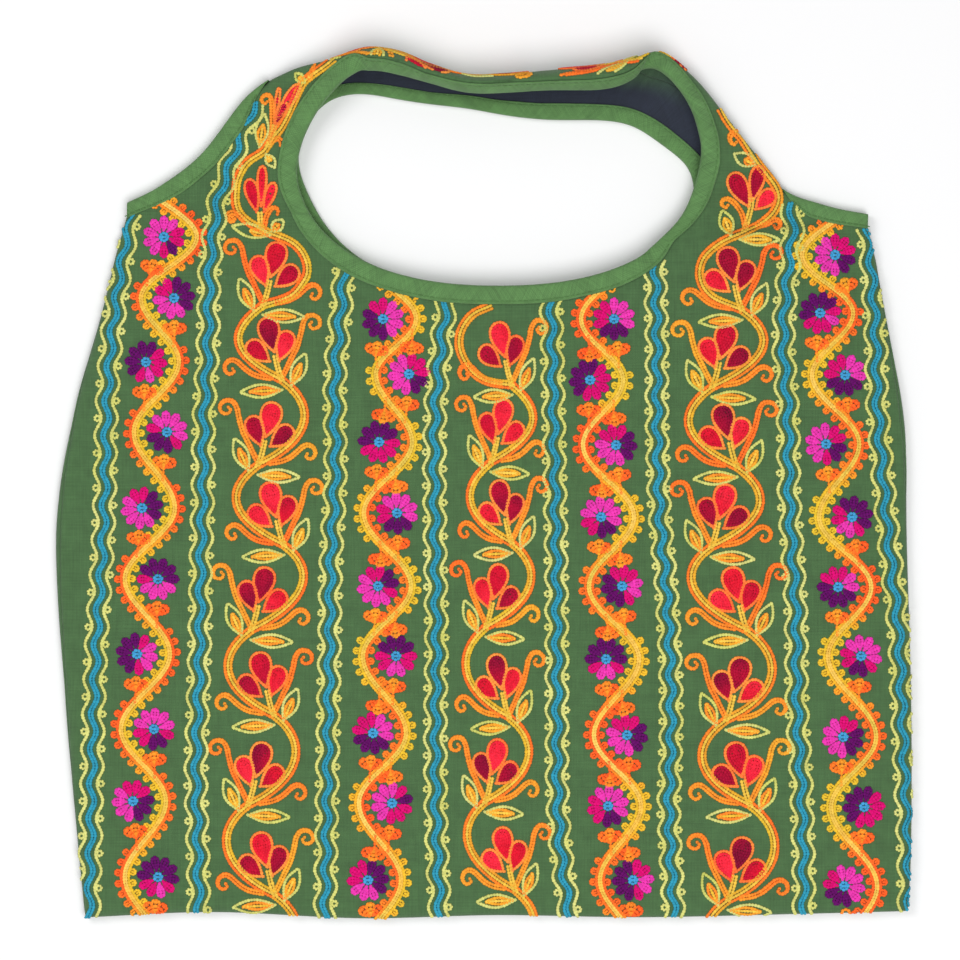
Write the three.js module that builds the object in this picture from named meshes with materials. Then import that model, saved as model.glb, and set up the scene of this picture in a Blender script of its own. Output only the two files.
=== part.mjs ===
// Embroidered hobo bag of green cotton, lying face up and empty on a flat surface.
// A front and a back panel, cut alike, are sewn together round the sides, the bottom and
// the outer edge of one wide shoulder strap. Folded strips bind the neck edges and shoulders.
// Millimetres. +X is across the bag, +Y runs from its bottom to its strap, +Z is up.
import * as THREE from 'three';

// Cloth and binding
const CLOTH = 1.4;
const STRIP = 1.0;
const GAP = 0.3;
const SEAM_GAP = 0.8;
const STRIP_WIDTH = 9;
const STRIP_UNDER = 6;
const FOLD_ROUND = 0.6;
const EDGE_INSET = STRIP + GAP;
const STRIP_INNER = CLOTH / 2 + GAP;
const STRIP_OUTER = STRIP_INNER + STRIP;
const BOUND_LENGTH = STRIP_WIDTH + 0.6;

// Heights of the middle of the cloth above the surface that the bag lies on
const FLOOR_CLOTH = CLOTH / 2;
const BOUND_BACK = STRIP_OUTER;
const BOUND_FRONT = BOUND_BACK + CLOTH + 3 * GAP;
const BODY_EDGE_TOP = 6.5;
const SHOULDER_MOUTH = 8.5;
const SCOOP_MOUTH = 12.2;
const BODY_CROWN = 3.2;
const CROWN_SPAN = 160;
const SETTLE_LENGTH = 30;
const LEAST_SLANT = 0.25;
const TURN_DEPTH = 1.6;
const TURN_SHARE = 0.6;
const HANDLE_SHARE = 0.45;
const LANDING_SHARE = 0.35;
const ARCH_SHARE = 0.6;

// The scooped mouth: the lower half of a superellipse in each panel
const FRONT_SCOOP = { x: 7, y: 155, halfWidth: 96, depth: 60.5, power: 2.3 };
const BACK_SCOOP = { x: 10, y: 155, halfWidth: 94, depth: 63, power: 2.3 };

// Sections of the strap from the left armhole corner over the top to the right one.
// front: neck edge of the front half. back: neck edge of the back half, which lies on the floor.
// rim: outermost point of the section. top, under: heights of the cloth above and below the rim's turn.
// lift: height of the front neck edge where the strap rolls over.
const STRAP = [
  { name: 'left corner', bound: true, corner: true,
    front: [-83, 129, 9], back: [-78.5, 128], rim: [-170.5, 134.5] },
  { name: 'left shoulder', front: [-89, 144, 9], back: [-86.5, 144.5], rim: [-155, 142.5], bound: true },
  { name: 'left shoulder top', front: [-88.5, 156, 9], back: [-89, 156], rim: [-135, 158], bound: true },
  { name: 'left strap', front: [-84, 170, 10], back: [-86, 170], rim: [-113, 185.5], bound: true },
  { name: 'left rise', front: [-74.5, 184], back: [-75.5, 183], rim: [-92.5, 197.5], lift: 13.5, top: 9.5 },
  { name: 'left hump start', front: [-64, 194], back: [-63.5, 187], rim: [-73, 202.5], lift: 17, top: 16 },
  { name: 'left hump', front: [-54.5, 198], back: [-52, 186.5], rim: [-55.5, 207.5], lift: 15.5, top: 22.5 },
  { name: 'left hump end', front: [-42, 195.5], back: [-42, 184.5], rim: [-40, 205.5], lift: 17.5, top: 25 },
  { name: 'dip start', front: [-28, 191.5], back: [-25.5, 182], rim: [-25.5, 199.5], lift: 16.5, top: 25 },
  { name: 'dip', front: [-8.5, 185], back: [-7.5, 180.5], rim: [-7.5, 194.5], lift: 16, top: 24 },
  { name: 'dip end', front: [9, 185], back: [11.5, 177], rim: [11, 195], lift: 15.5, top: 23.5 },
  { name: 'right hump', front: [31.5, 187.5], back: [31, 174.5], rim: [30.5, 197], lift: 15, top: 23.5 },
  { name: 'bend', front: [57.5, 188.5], back: [52, 174.5], rim: [57, 199.5], lift: 15, top: 23, under: 3 },
  { name: 'wall', front: [70.5, 193], back: [61.5, 174], rim: [72.5, 203], lift: 14.5, top: 22, under: 8 },
  { name: 'turn', front: [78, 199.5], back: [67.5, 173], rim: [85, 205], lift: 17.5, top: 19, under: 10 },
  { name: 'lean', front: [87.5, 194], back: [73.5, 171], rim: [99.5, 194.5], lift: 18, top: 16, under: 7 },
  { name: 'roll', front: [98, 181], back: [81.5, 165.5], rim: [112, 180.5], lift: 16, top: 12, under: 4 },
  { name: 'roll end', front: [103, 166], back: [91, 158.5], rim: [123.5, 166], lift: 13, top: 9, under: 2.6 },
  { name: 'right strap', front: [104, 157], back: [99, 151], rim: [134.5, 152.5], lift: 11, top: 6.5 },
  { name: 'right shoulder top', front: [99.5, 138, 9], back: [101, 136], rim: [147, 140], bound: true },
  { name: 'right shoulder', front: [93, 125.5, 9], back: [94.5, 123], rim: [166, 133], bound: true },
  { name: 'right corner', bound: true, corner: true,
    front: [82, 115, 9.5], back: [83, 112], rim: [184, 129.5] },
];

// Sections of the body, each from a place on the scoop (degrees) to the sewn rim.
// lap: how far the back panel comes round the side onto the face.
const BODY = [
  { scoop: 45, rim: [192, 83.5], lap: 1.5 },
  { scoop: 49, rim: [201.5, 28.5], lap: 3 },
  { scoop: 53, rim: [202.5, -27], lap: 0 },
  { scoop: 57, rim: [204.5, -103.5], lap: 0 },
  { scoop: 61, rim: [204.5, -170.5], lap: 0 },
  { scoop: 65, rim: [203, -204.5], lap: 0, corner: true },
  { scoop: 73, rim: [147, -206], lap: 0 },
  { scoop: 82, rim: [75, -207.5], lap: 0 },
  { scoop: 90, rim: [7, -206.5], lap: 0 },
  { scoop: 98, rim: [-59, -208], lap: 0 },
  { scoop: 108, rim: [-129, -205], lap: 0 },
  { scoop: 118, rim: [-190.5, -207.5], lap: 0, corner: true },
  { scoop: 123, rim: [-194.5, -166], lap: 0 },
  { scoop: 129, rim: [-200, -103.5], lap: 2 },
  { scoop: 136, rim: [-204.5, -24.5], lap: 4 },
  { scoop: 143, rim: [-196, 33.5], lap: 2 },
  { scoop: 150, rim: [-182.5, 82.5], lap: 0 },
];

// Fineness of the facets
const STEPS_PER_SECTION = 2;
const CURVE_STEPS = 24;
const FACE_RINGS = 5;
const TURN_RINGS = [14, 7, 3, 0];
const TURN_SHARES = [0.55, 0.3, 0.12, 0];
const BOUND_RINGS = 2;
const TANGENT_STEP = 0.4;

function scoopPoint(scoop, degrees) {
  const angle = THREE.MathUtils.degToRad(degrees);
  const share = 2 / scoop.power;
  const across = Math.sign(Math.cos(angle)) * Math.abs(Math.cos(angle)) ** share;
  const down = Math.sin(angle) ** share;
  return [scoop.x + scoop.halfWidth * across, scoop.y - scoop.depth * down];
}

// A strap or body row as one set of plain numbers
function strapRow(row) {
  return {
    frontX: row.front[0],
    frontY: row.front[1],
    frontZ: row.lift ?? row.front[2],
    backX: row.back[0],
    backY: row.back[1],
    rimX: row.rim[0],
    rimY: row.rim[1],
    top: row.top ?? BOUND_FRONT,
    under: row.under ?? BOUND_BACK,
    halved: row.bound ? 0 : 1,
    lap: 0,
    bound: row.bound ?? false,
    corner: row.corner ?? false,
  };
}

function bodyRow(row) {
  const [frontX, frontY] = scoopPoint(FRONT_SCOOP, row.scoop);
  const [backX, backY] = scoopPoint(BACK_SCOOP, row.scoop);
  const rise = Math.sin(THREE.MathUtils.degToRad(row.scoop)) ** 2;
  return {
    frontX,
    frontY,
    frontZ: THREE.MathUtils.lerp(SHOULDER_MOUTH, SCOOP_MOUTH, rise),
    backX,
    backY,
    rimX: row.rim[0],
    rimY: row.rim[1],
    top: BODY_EDGE_TOP,
    under: FLOOR_CLOTH,
    halved: 0,
    lap: row.lap,
    bound: false,
    corner: row.corner ?? false,
  };
}

// A smooth value between two rows; the rim keeps its corners, and heights leave a bound row flat
function between(rows, index, share, key) {
  const count = rows.length;
  const before = rows[(index + count - 1) % count];
  const start = rows[index % count];
  const end = rows[(index + 1) % count];
  const after = rows[(index + 2) % count];
  const run = end[key] - start[key];
  if (['top', 'under', 'halved', 'lap'].includes(key)) {
    const leaving = start.bound && !end.bound ? share * share : share;
    const eased = end.bound && !start.bound ? 1 - (1 - share) ** 2 : leaving;
    return start[key] + run * eased;
  }
  const keepsCorner = key === 'rimX' || key === 'rimY';
  const leave = keepsCorner && start.corner ? run : (end[key] - before[key]) / 2;
  const arrive = keepsCorner && end.corner ? run : (after[key] - start[key]) / 2;
  const s2 = share * share;
  const s3 = s2 * share;
  return (2 * s3 - 3 * s2 + 1) * start[key] + (s3 - 2 * s2 + share) * leave
    + (3 * s2 - 2 * s3) * end[key] + (s3 - s2) * arrive;
}

function makeStations() {
  const rows = [...STRAP.map(strapRow), ...BODY.map(bodyRow)];
  const keys = Object.keys(rows[0]).filter((key) => key !== 'corner' && key !== 'bound');
  const stations = [];
  for (let index = 0; index < rows.length; index += 1) {
    for (let step = 0; step < STEPS_PER_SECTION; step += 1) {
      const share = step / STEPS_PER_SECTION;
      const station = Object.fromEntries(keys.map((key) => [key, between(rows, index, share, key)]));
      station.bound = rows[index].bound && (step === 0 || rows[(index + 1) % rows.length].bound);
      stations.push(station);
    }
  }
  return stations;
}

// Direction out from the rim at a station, seen from above; at an armhole corner, the armhole's
function rimOutward(stations, index) {
  const count = stations.length;
  const lastArmhole = (STRAP.length - 1) * STEPS_PER_SECTION;
  const before = stations[index === 0 ? 0 : index - 1];
  const after = stations[index === lastArmhole ? index : (index + 1) % count];
  const along = new THREE.Vector3(after.rimX - before.rimX, after.rimY - before.rimY, 0).normalize();
  return new THREE.Vector3(-along.y, along.x, 0);
}

// The middle line of the cloth from the front neck edge, round the rim, to the back neck edge
function sectionLine(station, outward) {
  const front = new THREE.Vector3(station.frontX, station.frontY, station.frontZ);
  const back = new THREE.Vector3(station.backX, station.backY, BOUND_BACK);
  const heading = new THREE.Vector3(station.rimX - station.frontX, station.rimY - station.frontY, 0);
  const reach = heading.length();
  heading.normalize();
  const slant = Math.max(LEAST_SLANT, heading.dot(outward));
  const turnUp = (station.top - station.under) / 2;
  const turnOut = Math.min(TURN_DEPTH * turnUp / slant, TURN_SHARE * reach);
  const flat = station.bound ? BOUND_LENGTH / slant + 1 : 0;
  const inset = station.bound ? (EDGE_INSET + CLOTH / 2) / slant : CLOTH / 2;
  const apex = new THREE.Vector3(station.rimX, station.rimY, (station.top + station.under) / 2);
  apex.addScaledVector(heading, -inset);
  const turn = apex.clone().addScaledVector(heading, -turnOut);
  const upper = turn.clone().setZ(station.top);
  const lower = turn.clone().setZ(station.under);
  const settle = upper.clone().addScaledVector(heading, -Math.min(flat, TURN_SHARE * reach));
  const face = settle.distanceTo(front.clone().setZ(station.top));
  const crown = BODY_CROWN * Math.min(1, face / CROWN_SPAN);
  const arch = ARCH_SHARE * Math.max(0, station.top - station.frontZ);
  const handle = front.clone().addScaledVector(heading, HANDLE_SHARE * face);
  handle.z += crown + arch;
  const landing = settle.clone().addScaledVector(heading, -LANDING_SHARE * face).setZ(station.top + crown);
  const points = new THREE.CubicBezierCurve3(front, handle, landing, settle).getPoints(CURVE_STEPS);
  for (let step = 0; step <= CURVE_STEPS; step += 1) {
    const angle = Math.PI * step / CURVE_STEPS;
    const point = turn.clone().addScaledVector(heading, turnOut * Math.sin(angle));
    point.z = apex.z + turnUp * Math.cos(angle);
    points.push(point);
  }
  const run = back.distanceTo(lower.clone().setZ(BOUND_BACK));
  const settleEnd = Math.min(BOUND_LENGTH + SETTLE_LENGTH, run - flat);
  for (let step = 1; step <= 2 * CURVE_STEPS; step += 1) {
    const share = step / (2 * CURVE_STEPS);
    const point = lower.clone().lerp(back, share);
    const lifted = THREE.MathUtils.smoothstep(run * (1 - share), BOUND_LENGTH, settleEnd);
    point.z = THREE.MathUtils.lerp(BOUND_BACK, station.under, lifted);
    points.push(point);
  }
  // The seam lies at the rim, but where the strap rolls over it stays halfway across the strap
  const lengths = [0];
  for (let index = 1; index < points.length; index += 1) {
    lengths.push(lengths[index - 1] + points[index].distanceTo(points[index - 1]));
  }
  const total = lengths[lengths.length - 1];
  const apexLength = lengths[1.5 * CURVE_STEPS + 1];
  const seam = THREE.MathUtils.lerp(apexLength, total / 2, station.halved) - station.lap;
  return { points, lengths, total, seam };
}

// A place on a section line at a given length from its front end
function linePoint(line, length) {
  let index = 1;
  while (index < line.lengths.length - 1 && line.lengths[index] < length) {
    index += 1;
  }
  const span = line.lengths[index] - line.lengths[index - 1];
  const share = span > 0 ? (length - line.lengths[index - 1]) / span : 0;
  return line.points[index - 1].clone().lerp(line.points[index], share);
}

// The same place measured from the front or the back neck edge, straight inside the binding
function panelPoint(line, length, side) {
  const at = (value) => linePoint(line, side === 'front' ? value : line.total - value);
  if (length >= BOUND_LENGTH) {
    return at(length);
  }
  return at(0).lerp(at(BOUND_LENGTH), length / BOUND_LENGTH);
}

// Distances of a panel's rings from its neck edge: bound edge, face, and the turn at the seam
function ringLengths(line, side) {
  const end = (side === 'front' ? line.seam : line.total - line.seam) - SEAM_GAP / 2;
  const face = end - BOUND_LENGTH;
  const turn = TURN_RINGS.map((distance, index) => end - Math.min(distance, TURN_SHARES[index] * face));
  const rings = [EDGE_INSET, BOUND_LENGTH];
  for (let ring = 1; ring < FACE_RINGS; ring += 1) {
    rings.push(THREE.MathUtils.lerp(BOUND_LENGTH, turn[0], ring / FACE_RINGS));
  }
  return [...rings, ...turn];
}

// A closed mesh from a grid of points; the faces are turned to point out
function closedMesh(points, triangles) {
  const volume = triangles.reduce((sum, [a, b, c]) => {
    return sum + points[a].dot(new THREE.Vector3().crossVectors(points[b], points[c]));
  }, 0);
  const faces = volume > 0 ? triangles : triangles.map(([a, b, c]) => [a, c, b]);
  const geometry = new THREE.BufferGeometry().setFromPoints(points);
  geometry.setIndex(faces.flat());
  geometry.computeVertexNormals();
  return geometry;
}

function quad(a, b, c, d) {
  return [[a, b, c], [a, c, d]];
}

// One panel: a wall of cloth round the neck opening, from its bound edge to the seam
function panelGeometry(lines, side) {
  const count = lines.length;
  const lengths = lines.map((line) => ringLengths(line, side));
  const grid = lines.map((line, i) => lengths[i].map((length) => panelPoint(line, length, side)));
  const frames = neckFrames(lines, side);
  const rings = grid[0].length;
  const points = [];
  for (let i = 0; i < count; i += 1) {
    for (let j = 0; j < rings; j += 1) {
      const along = grid[(i + 1) % count][j].clone().sub(grid[(i + count - 1) % count][j]);
      const middle = lengths[i][j] + (j === rings - 1 ? SEAM_GAP / 2 : 0);
      const across = panelPoint(lines[i], middle + TANGENT_STEP, side);
      across.sub(panelPoint(lines[i], middle - TANGENT_STEP, side));
      const normal = j < BOUND_RINGS ? frames[i].up : along.cross(across).normalize();
      points.push(grid[i][j].clone().addScaledVector(normal, CLOTH / 2));
      points.push(grid[i][j].clone().addScaledVector(normal, -CLOTH / 2));
    }
  }
  const at = (i, j, face) => ((i % count) * rings + j) * 2 + face;
  const triangles = [];
  for (let i = 0; i < count; i += 1) {
    for (let j = 0; j < rings - 1; j += 1) {
      triangles.push(...quad(at(i, j, 0), at(i + 1, j, 0), at(i + 1, j + 1, 0), at(i, j + 1, 0)));
      triangles.push(...quad(at(i, j, 1), at(i, j + 1, 1), at(i + 1, j + 1, 1), at(i + 1, j, 1)));
    }
    const last = rings - 1;
    triangles.push(...quad(at(i, 0, 0), at(i, 0, 1), at(i + 1, 0, 1), at(i + 1, 0, 0)));
    triangles.push(...quad(at(i, last, 0), at(i + 1, last, 0), at(i + 1, last, 1), at(i, last, 1)));
  }
  return closedMesh(points, triangles);
}

// Section of a folded strip as [depth from the fold, height] about the middle of what it binds
function stripSection(above, below) {
  const outerTop = above + STRIP_OUTER;
  const innerTop = above + STRIP_INNER;
  const outerBase = below - STRIP_OUTER;
  const innerBase = below - STRIP_INNER;
  return [
    [STRIP_WIDTH, outerTop],
    [FOLD_ROUND, outerTop],
    [0, outerTop - FOLD_ROUND],
    [0, outerBase + FOLD_ROUND],
    [FOLD_ROUND, outerBase],
    [STRIP_UNDER, outerBase],
    [STRIP_UNDER, innerBase],
    [STRIP, innerBase],
    [STRIP, innerTop],
    [STRIP_WIDTH, innerTop],
  ];
}

// A strip swept through frames of { origin, inward, up }, closed on itself or with flat ends
function stripGeometry(section, frames, closed) {
  const sides = section.length;
  const points = frames.flatMap((frame) => section.map(([depth, height]) => {
    return frame.origin.clone().addScaledVector(frame.inward, depth).addScaledVector(frame.up, height);
  }));
  const triangles = [];
  const spans = closed ? frames.length : frames.length - 1;
  for (let i = 0; i < spans; i += 1) {
    const here = i * sides;
    const next = ((i + 1) % frames.length) * sides;
    for (let k = 0; k < sides; k += 1) {
      const side = (k + 1) % sides;
      const deepening = section[k][0] < section[side][0];
      triangles.push(...(deepening
        ? quad(here + k, next + k, next + side, here + side)
        : quad(here + side, here + k, next + k, next + side)));
    }
  }
  if (!closed) {
    const outline = section.map(([depth, height]) => new THREE.Vector2(depth, height));
    const last = (frames.length - 1) * sides;
    const turned = THREE.ShapeUtils.isClockWise(outline) ? -1 : 1;
    for (const [a, b, c] of THREE.ShapeUtils.triangulateShape(outline, [])) {
      triangles.push(turned > 0 ? [a, b, c] : [a, c, b]);
      triangles.push(turned > 0 ? [last + a, last + c, last + b] : [last + a, last + b, last + c]);
    }
  }
  return closedMesh(points, triangles);
}

// Frames of the strip folded over a panel's neck edge
function neckFrames(lines, side) {
  const count = lines.length;
  const edges = lines.map((line) => panelPoint(line, 0, side));
  return lines.map((line, index) => {
    const along = edges[(index + 1) % count].clone().sub(edges[(index + count - 1) % count]);
    const inward = panelPoint(line, BOUND_LENGTH, side).sub(edges[index]).normalize();
    const up = along.cross(inward).normalize();
    return { origin: edges[index], inward, up };
  });
}

// Frames of the strip folded over the shoulder's outer edge, between two rows of the strap table
function shoulderFrames(stations, firstRow, lastRow) {
  const frames = [];
  for (let index = firstRow * STEPS_PER_SECTION; index <= lastRow * STEPS_PER_SECTION; index += 1) {
    const station = stations[index];
    const inward = rimOutward(stations, index).negate();
    const origin = new THREE.Vector3(station.rimX, station.rimY, 0);
    frames.push({ origin, inward, up: new THREE.Vector3(0, 0, 1) });
  }
  return frames;
}

function addPiece(group, name, geometry, color, roughness) {
  const material = new THREE.MeshStandardMaterial({ color, roughness, metalness: 0 });
  const mesh = new THREE.Mesh(geometry, material);
  mesh.name = name;
  group.add(mesh);
}

const GREEN_COTTON = 0x4a6e42;
const GREEN_STRIP = 0x548a50;
const COTTON_ROUGHNESS = 0.9;
const STRIP_ROUGHNESS = 0.85;

const rowBound = STRAP.map((row) => row.bound ?? false);
const leftEnd = rowBound.indexOf(false) - 1;
const rightStart = rowBound.lastIndexOf(false) + 1;
const stations = makeStations();
const lines = stations.map((station, index) => sectionLine(station, rimOutward(stations, index)));
const neckSection = stripSection(0, 0);
const shoulderSection = stripSection(BOUND_FRONT, BOUND_BACK);

const bag = new THREE.Group();
addPiece(bag, 'front_panel', panelGeometry(lines, 'front'), GREEN_COTTON, COTTON_ROUGHNESS);
addPiece(bag, 'back_panel', panelGeometry(lines, 'back'), GREEN_COTTON, COTTON_ROUGHNESS);
for (const side of ['front', 'back']) {
  const geometry = stripGeometry(neckSection, neckFrames(lines, side), true);
  addPiece(bag, `${side}_neck_binding`, geometry, GREEN_STRIP, STRIP_ROUGHNESS);
}
const shoulders = { left: [0, leftEnd], right: [rightStart, STRAP.length - 1] };
for (const [side, [firstRow, lastRow]] of Object.entries(shoulders)) {
  const geometry = stripGeometry(shoulderSection, shoulderFrames(stations, firstRow, lastRow), false);
  addPiece(bag, `${side}_shoulder_binding`, geometry, GREEN_STRIP, STRIP_ROUGHNESS);
}

export default bag;
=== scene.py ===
import math

import bpy
import numpy as np
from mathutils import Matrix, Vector, noise
from mathutils.bvhtree import BVHTree


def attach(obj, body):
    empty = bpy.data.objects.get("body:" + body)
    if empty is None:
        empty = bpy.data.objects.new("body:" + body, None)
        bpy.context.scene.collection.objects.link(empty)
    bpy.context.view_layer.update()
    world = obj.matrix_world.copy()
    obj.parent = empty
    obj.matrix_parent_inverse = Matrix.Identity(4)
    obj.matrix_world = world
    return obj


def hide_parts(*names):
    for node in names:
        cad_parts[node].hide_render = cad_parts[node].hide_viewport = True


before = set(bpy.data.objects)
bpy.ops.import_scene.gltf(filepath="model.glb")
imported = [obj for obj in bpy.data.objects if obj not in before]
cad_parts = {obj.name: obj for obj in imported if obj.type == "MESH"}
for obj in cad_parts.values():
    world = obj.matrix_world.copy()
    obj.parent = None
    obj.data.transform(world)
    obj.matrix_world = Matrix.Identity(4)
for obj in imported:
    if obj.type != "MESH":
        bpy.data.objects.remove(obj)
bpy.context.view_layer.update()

# The bag lies on a white table and is looked at straight from above, from far enough away
# that its sides hardly show. Soft light comes from all round, with more from the upper left.
MM = 0.001
MM_PER_PIXEL = 0.48
PICTURE_SIZE = 960
ORIGIN_PIXEL = (483.5, 484.0)
EYE_HEIGHT = 1600.0
SENSOR_WIDTH = 36.0
TABLE_DROP = 0.3
TABLE_HALF = 4.0
TABLE_WHITE = (0.885, 0.885, 0.89, 1.0)
TENT_LIGHT = 0.42
eye = np.array([
    (PICTURE_SIZE / 2 - ORIGIN_PIXEL[0]) * MM_PER_PIXEL,
    (ORIGIN_PIXEL[1] - PICTURE_SIZE / 2) * MM_PER_PIXEL,
    EYE_HEIGHT,
])
camera_data = bpy.data.cameras.new("view_from_above")
camera_data.sensor_width = SENSOR_WIDTH
camera_data.lens = SENSOR_WIDTH * EYE_HEIGHT / (PICTURE_SIZE * MM_PER_PIXEL)
camera = bpy.data.objects.new("view_from_above", camera_data)
camera.location = Vector(eye * MM)
bpy.context.scene.collection.objects.link(camera)
bpy.context.scene.camera = camera


def add_lamp(name, place, size, power):
    """A square soft lamp, sizes in metres and power in watts, turned to the middle of the bag."""
    lamp = bpy.data.lights.new(name, "AREA")
    lamp.shape = "SQUARE"
    lamp.size = size
    lamp.energy = power
    holder = bpy.data.objects.new(name, lamp)
    holder.location = place
    holder.rotation_euler = (-Vector(place)).to_track_quat("-Z", "Y").to_euler()
    bpy.context.scene.collection.objects.link(holder)


add_lamp("key_lamp", place=(-0.8, 0.5, 1.3), size=0.7, power=7)
add_lamp("roof_lamp", place=(0.35, -0.8, 2.1), size=1.4, power=34)
world = bpy.data.worlds.new("white_tent")
world.use_nodes = True
tent_cloth = world.node_tree.nodes["Background"]
tent_cloth.inputs["Color"].default_value = (1.0, 1.0, 1.0, 1.0)
tent_cloth.inputs["Strength"].default_value = TENT_LIGHT
bpy.context.scene.world = world
bpy.context.scene.view_settings.view_transform = "Standard"

table_mesh = bpy.data.meshes.new("white_table")
table_mesh.from_pydata(
    [(x * TABLE_HALF, y * TABLE_HALF, -TABLE_DROP * MM) for x, y in ((-1, -1), (1, -1), (1, 1), (-1, 1))],
    [], [(0, 1, 2, 3)],
)
table = bpy.data.objects.new("white_table", table_mesh)
bpy.context.scene.collection.objects.link(table)
table_paint = bpy.data.materials.new("white_table")
table_paint.use_nodes = True
table_shader = table_paint.node_tree.nodes["Principled BSDF"]
table_shader.inputs["Base Color"].default_value = TABLE_WHITE
table_shader.inputs["Roughness"].default_value = 0.9
table_mesh.materials.append(table_paint)

# Front and back panel: medium green cotton, each cut in one with its half of the shoulder strap.
# They are sewn face to face along the sides, the bottom and the strap's outer edge, then turned out,
# and lie one on the other; the embroidery draws the front in a little along its lines.
CLOTH = 1.4
GAP = 0.3
STRIP = 1.0
STRIP_WIDTH = 9.0
EDGE_INSET = STRIP + GAP
STRIP_INNER = CLOTH / 2 + GAP
STRIP_OUTER = STRIP_INNER + STRIP
BOUND_LENGTH = STRIP_WIDTH + 0.6
SEAM_GAP = 0.1
FLOOR_CLOTH = CLOTH / 2
BOUND_BACK = STRIP_OUTER
BODY_EDGE_TOP = 6.5
SHOULDER_MOUTH, SCOOP_MOUTH = 8.5, 12.2
BODY_CROWN, CROWN_SPAN = 3.2, 160.0
SETTLE_LENGTH = 30.0
LEAST_SLANT = 0.25
TURN_DEPTH, TURN_SHARE = 1.6, 0.6
HANDLE_SHARE, LANDING_SHARE, ARCH_SHARE = 0.45, 0.35, 0.2
FRONT_SCOOP = {"x": 7, "y": 155, "half_width": 96, "depth": 60.5, "power": 2.3}
BACK_SCOOP = {"x": 10, "y": 155, "half_width": 94, "depth": 63, "power": 2.3}
STRAP_COLUMNS = ("front_x", "front_y", "front_z", "back_x", "back_y", "rim_x", "rim_y",
                 "top", "under", "bound", "corner")
STRAP_ROWS = (
    (-83, 129, 9, -78.5, 128, -170.5, 134.5, 4.3, 2, 1, 1),
    (-89, 144, 9, -86.5, 144.5, -155, 142.5, 4.3, 2, 1, 0),
    (-88.5, 156, 9, -89, 156, -135, 158, 4.3, 2, 1, 0),
    (-84, 170, 10, -86, 170, -113, 185.5, 4.3, 2, 1, 0),
    (-74.5, 184, 13.5, -75.5, 183, -92.5, 197.5, 9.5, 2, 0, 0),
    (-64, 194, 17, -63.5, 187, -73, 202.5, 16, 2, 0, 0),
    (-54.5, 198, 15.5, -52, 186.5, -55.5, 207.5, 22.5, 2, 0, 0),
    (-42, 195.5, 17.5, -42, 184.5, -40, 205.5, 25, 2, 0, 0),
    (-28, 192.5, 16.5, -25.5, 182, -25.5, 199.5, 25, 2, 0, 0),
    (-8.5, 187, 16, -7.5, 180, -7.5, 194.5, 24, 2, 0, 0),
    (9, 187, 15.5, 11.5, 176.5, 11, 195, 23.5, 2, 0, 0),
    (31.5, 188.5, 15, 31, 174.5, 30.5, 197, 23.5, 2, 0, 0),
    (57.5, 188.5, 15, 52, 174.5, 57, 199.5, 23, 3, 0, 0),
    (70.5, 193, 14.5, 61.5, 174, 72.5, 203, 22, 8, 0, 0),
    (78, 199.5, 17.5, 67.5, 173, 85, 205, 19, 10, 0, 0),
    (87.5, 194, 18, 73.5, 171, 99.5, 194.5, 16, 7, 0, 0),
    (98, 181, 16, 81.5, 165.5, 112, 180.5, 12, 4, 0, 0),
    (103, 166, 13, 91, 158.5, 123.5, 166, 9, 2.6, 0, 0),
    (104, 157, 11, 99, 151, 134.5, 152.5, 6.5, 2, 0, 0),
    (99.5, 138, 9, 101, 136, 147, 140, 4.3, 2, 1, 0),
    (93, 125.5, 9, 94.5, 123, 166, 133, 4.3, 2, 1, 0),
    (82, 115, 9.5, 83, 112, 184, 129.5, 4.3, 2, 1, 1),
)
BODY_COLUMNS = ("scoop", "rim_x", "rim_y", "lap", "corner")
BODY_ROWS = (
    (45, 192, 83.5, 1.5, 0),
    (49, 201.5, 28.5, 3, 0),
    (53, 202.5, -27, 0, 0),
    (57, 204.5, -103.5, 0, 0),
    (61, 204.5, -170.5, 0, 0),
    (65, 203, -204.5, 0, 1),
    (73, 147, -206, 0, 0),
    (82, 75, -207.5, 0, 0),
    (90, 7, -206.5, 0, 0),
    (98, -59, -208, 0, 0),
    (108, -129, -205, 0, 0),
    (118, -190.5, -207.5, 0, 1),
    (123, -194.5, -166, 0, 0),
    (129, -200, -103.5, 2, 0),
    (136, -204.5, -24.5, 4, 0),
    (143, -196, 33.5, 2, 0),
    (150, -182.5, 82.5, 0, 0),
)
STEPS = 10
CURVE_STEPS = 48
BOUND_RINGS = (EDGE_INSET, 4.0, 7.0)
FACE_RINGS = {"front": 44, "back": 20}
TURN_LENGTH, TURN_SHARE_OF_FACE, TURN_RINGS = 14.0, 0.55, 12
# Painted shade inside the bag: the dark inside colour gives way to the face colour by this share between
# these heights in millimetres, so raised inner faces look lit and low ones shaded.
PAINTED_SHADE_FADE_SHARE, PAINTED_SHADE_FADE_HEIGHTS = 0.6, (4.0, 10.0)
NECK_EASE = 7.0
SWELLS = ((0.75, 55, 3.1), (0.35, 21, 8.7))
SWELL_FROM_STRIP, SWELL_FROM_SEAM = 14.0, (1.0, 12.0)
PUCKER, PUCKER_PITCH, PUCKER_SEED = 0.35, 9.0, 5.5
PUCKER_RISE, PUCKER_FADE = (8.0, 12.0), (14.0, 38.0)
BACK_RELIEF = 0.6


def scoop_point(scoop, degrees):
    angle = math.radians(degrees)
    share = 2 / scoop["power"]
    across = math.copysign(abs(math.cos(angle)) ** share, math.cos(angle))
    return scoop["x"] + scoop["half_width"] * across, scoop["y"] - scoop["depth"] * math.sin(angle) ** share


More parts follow.
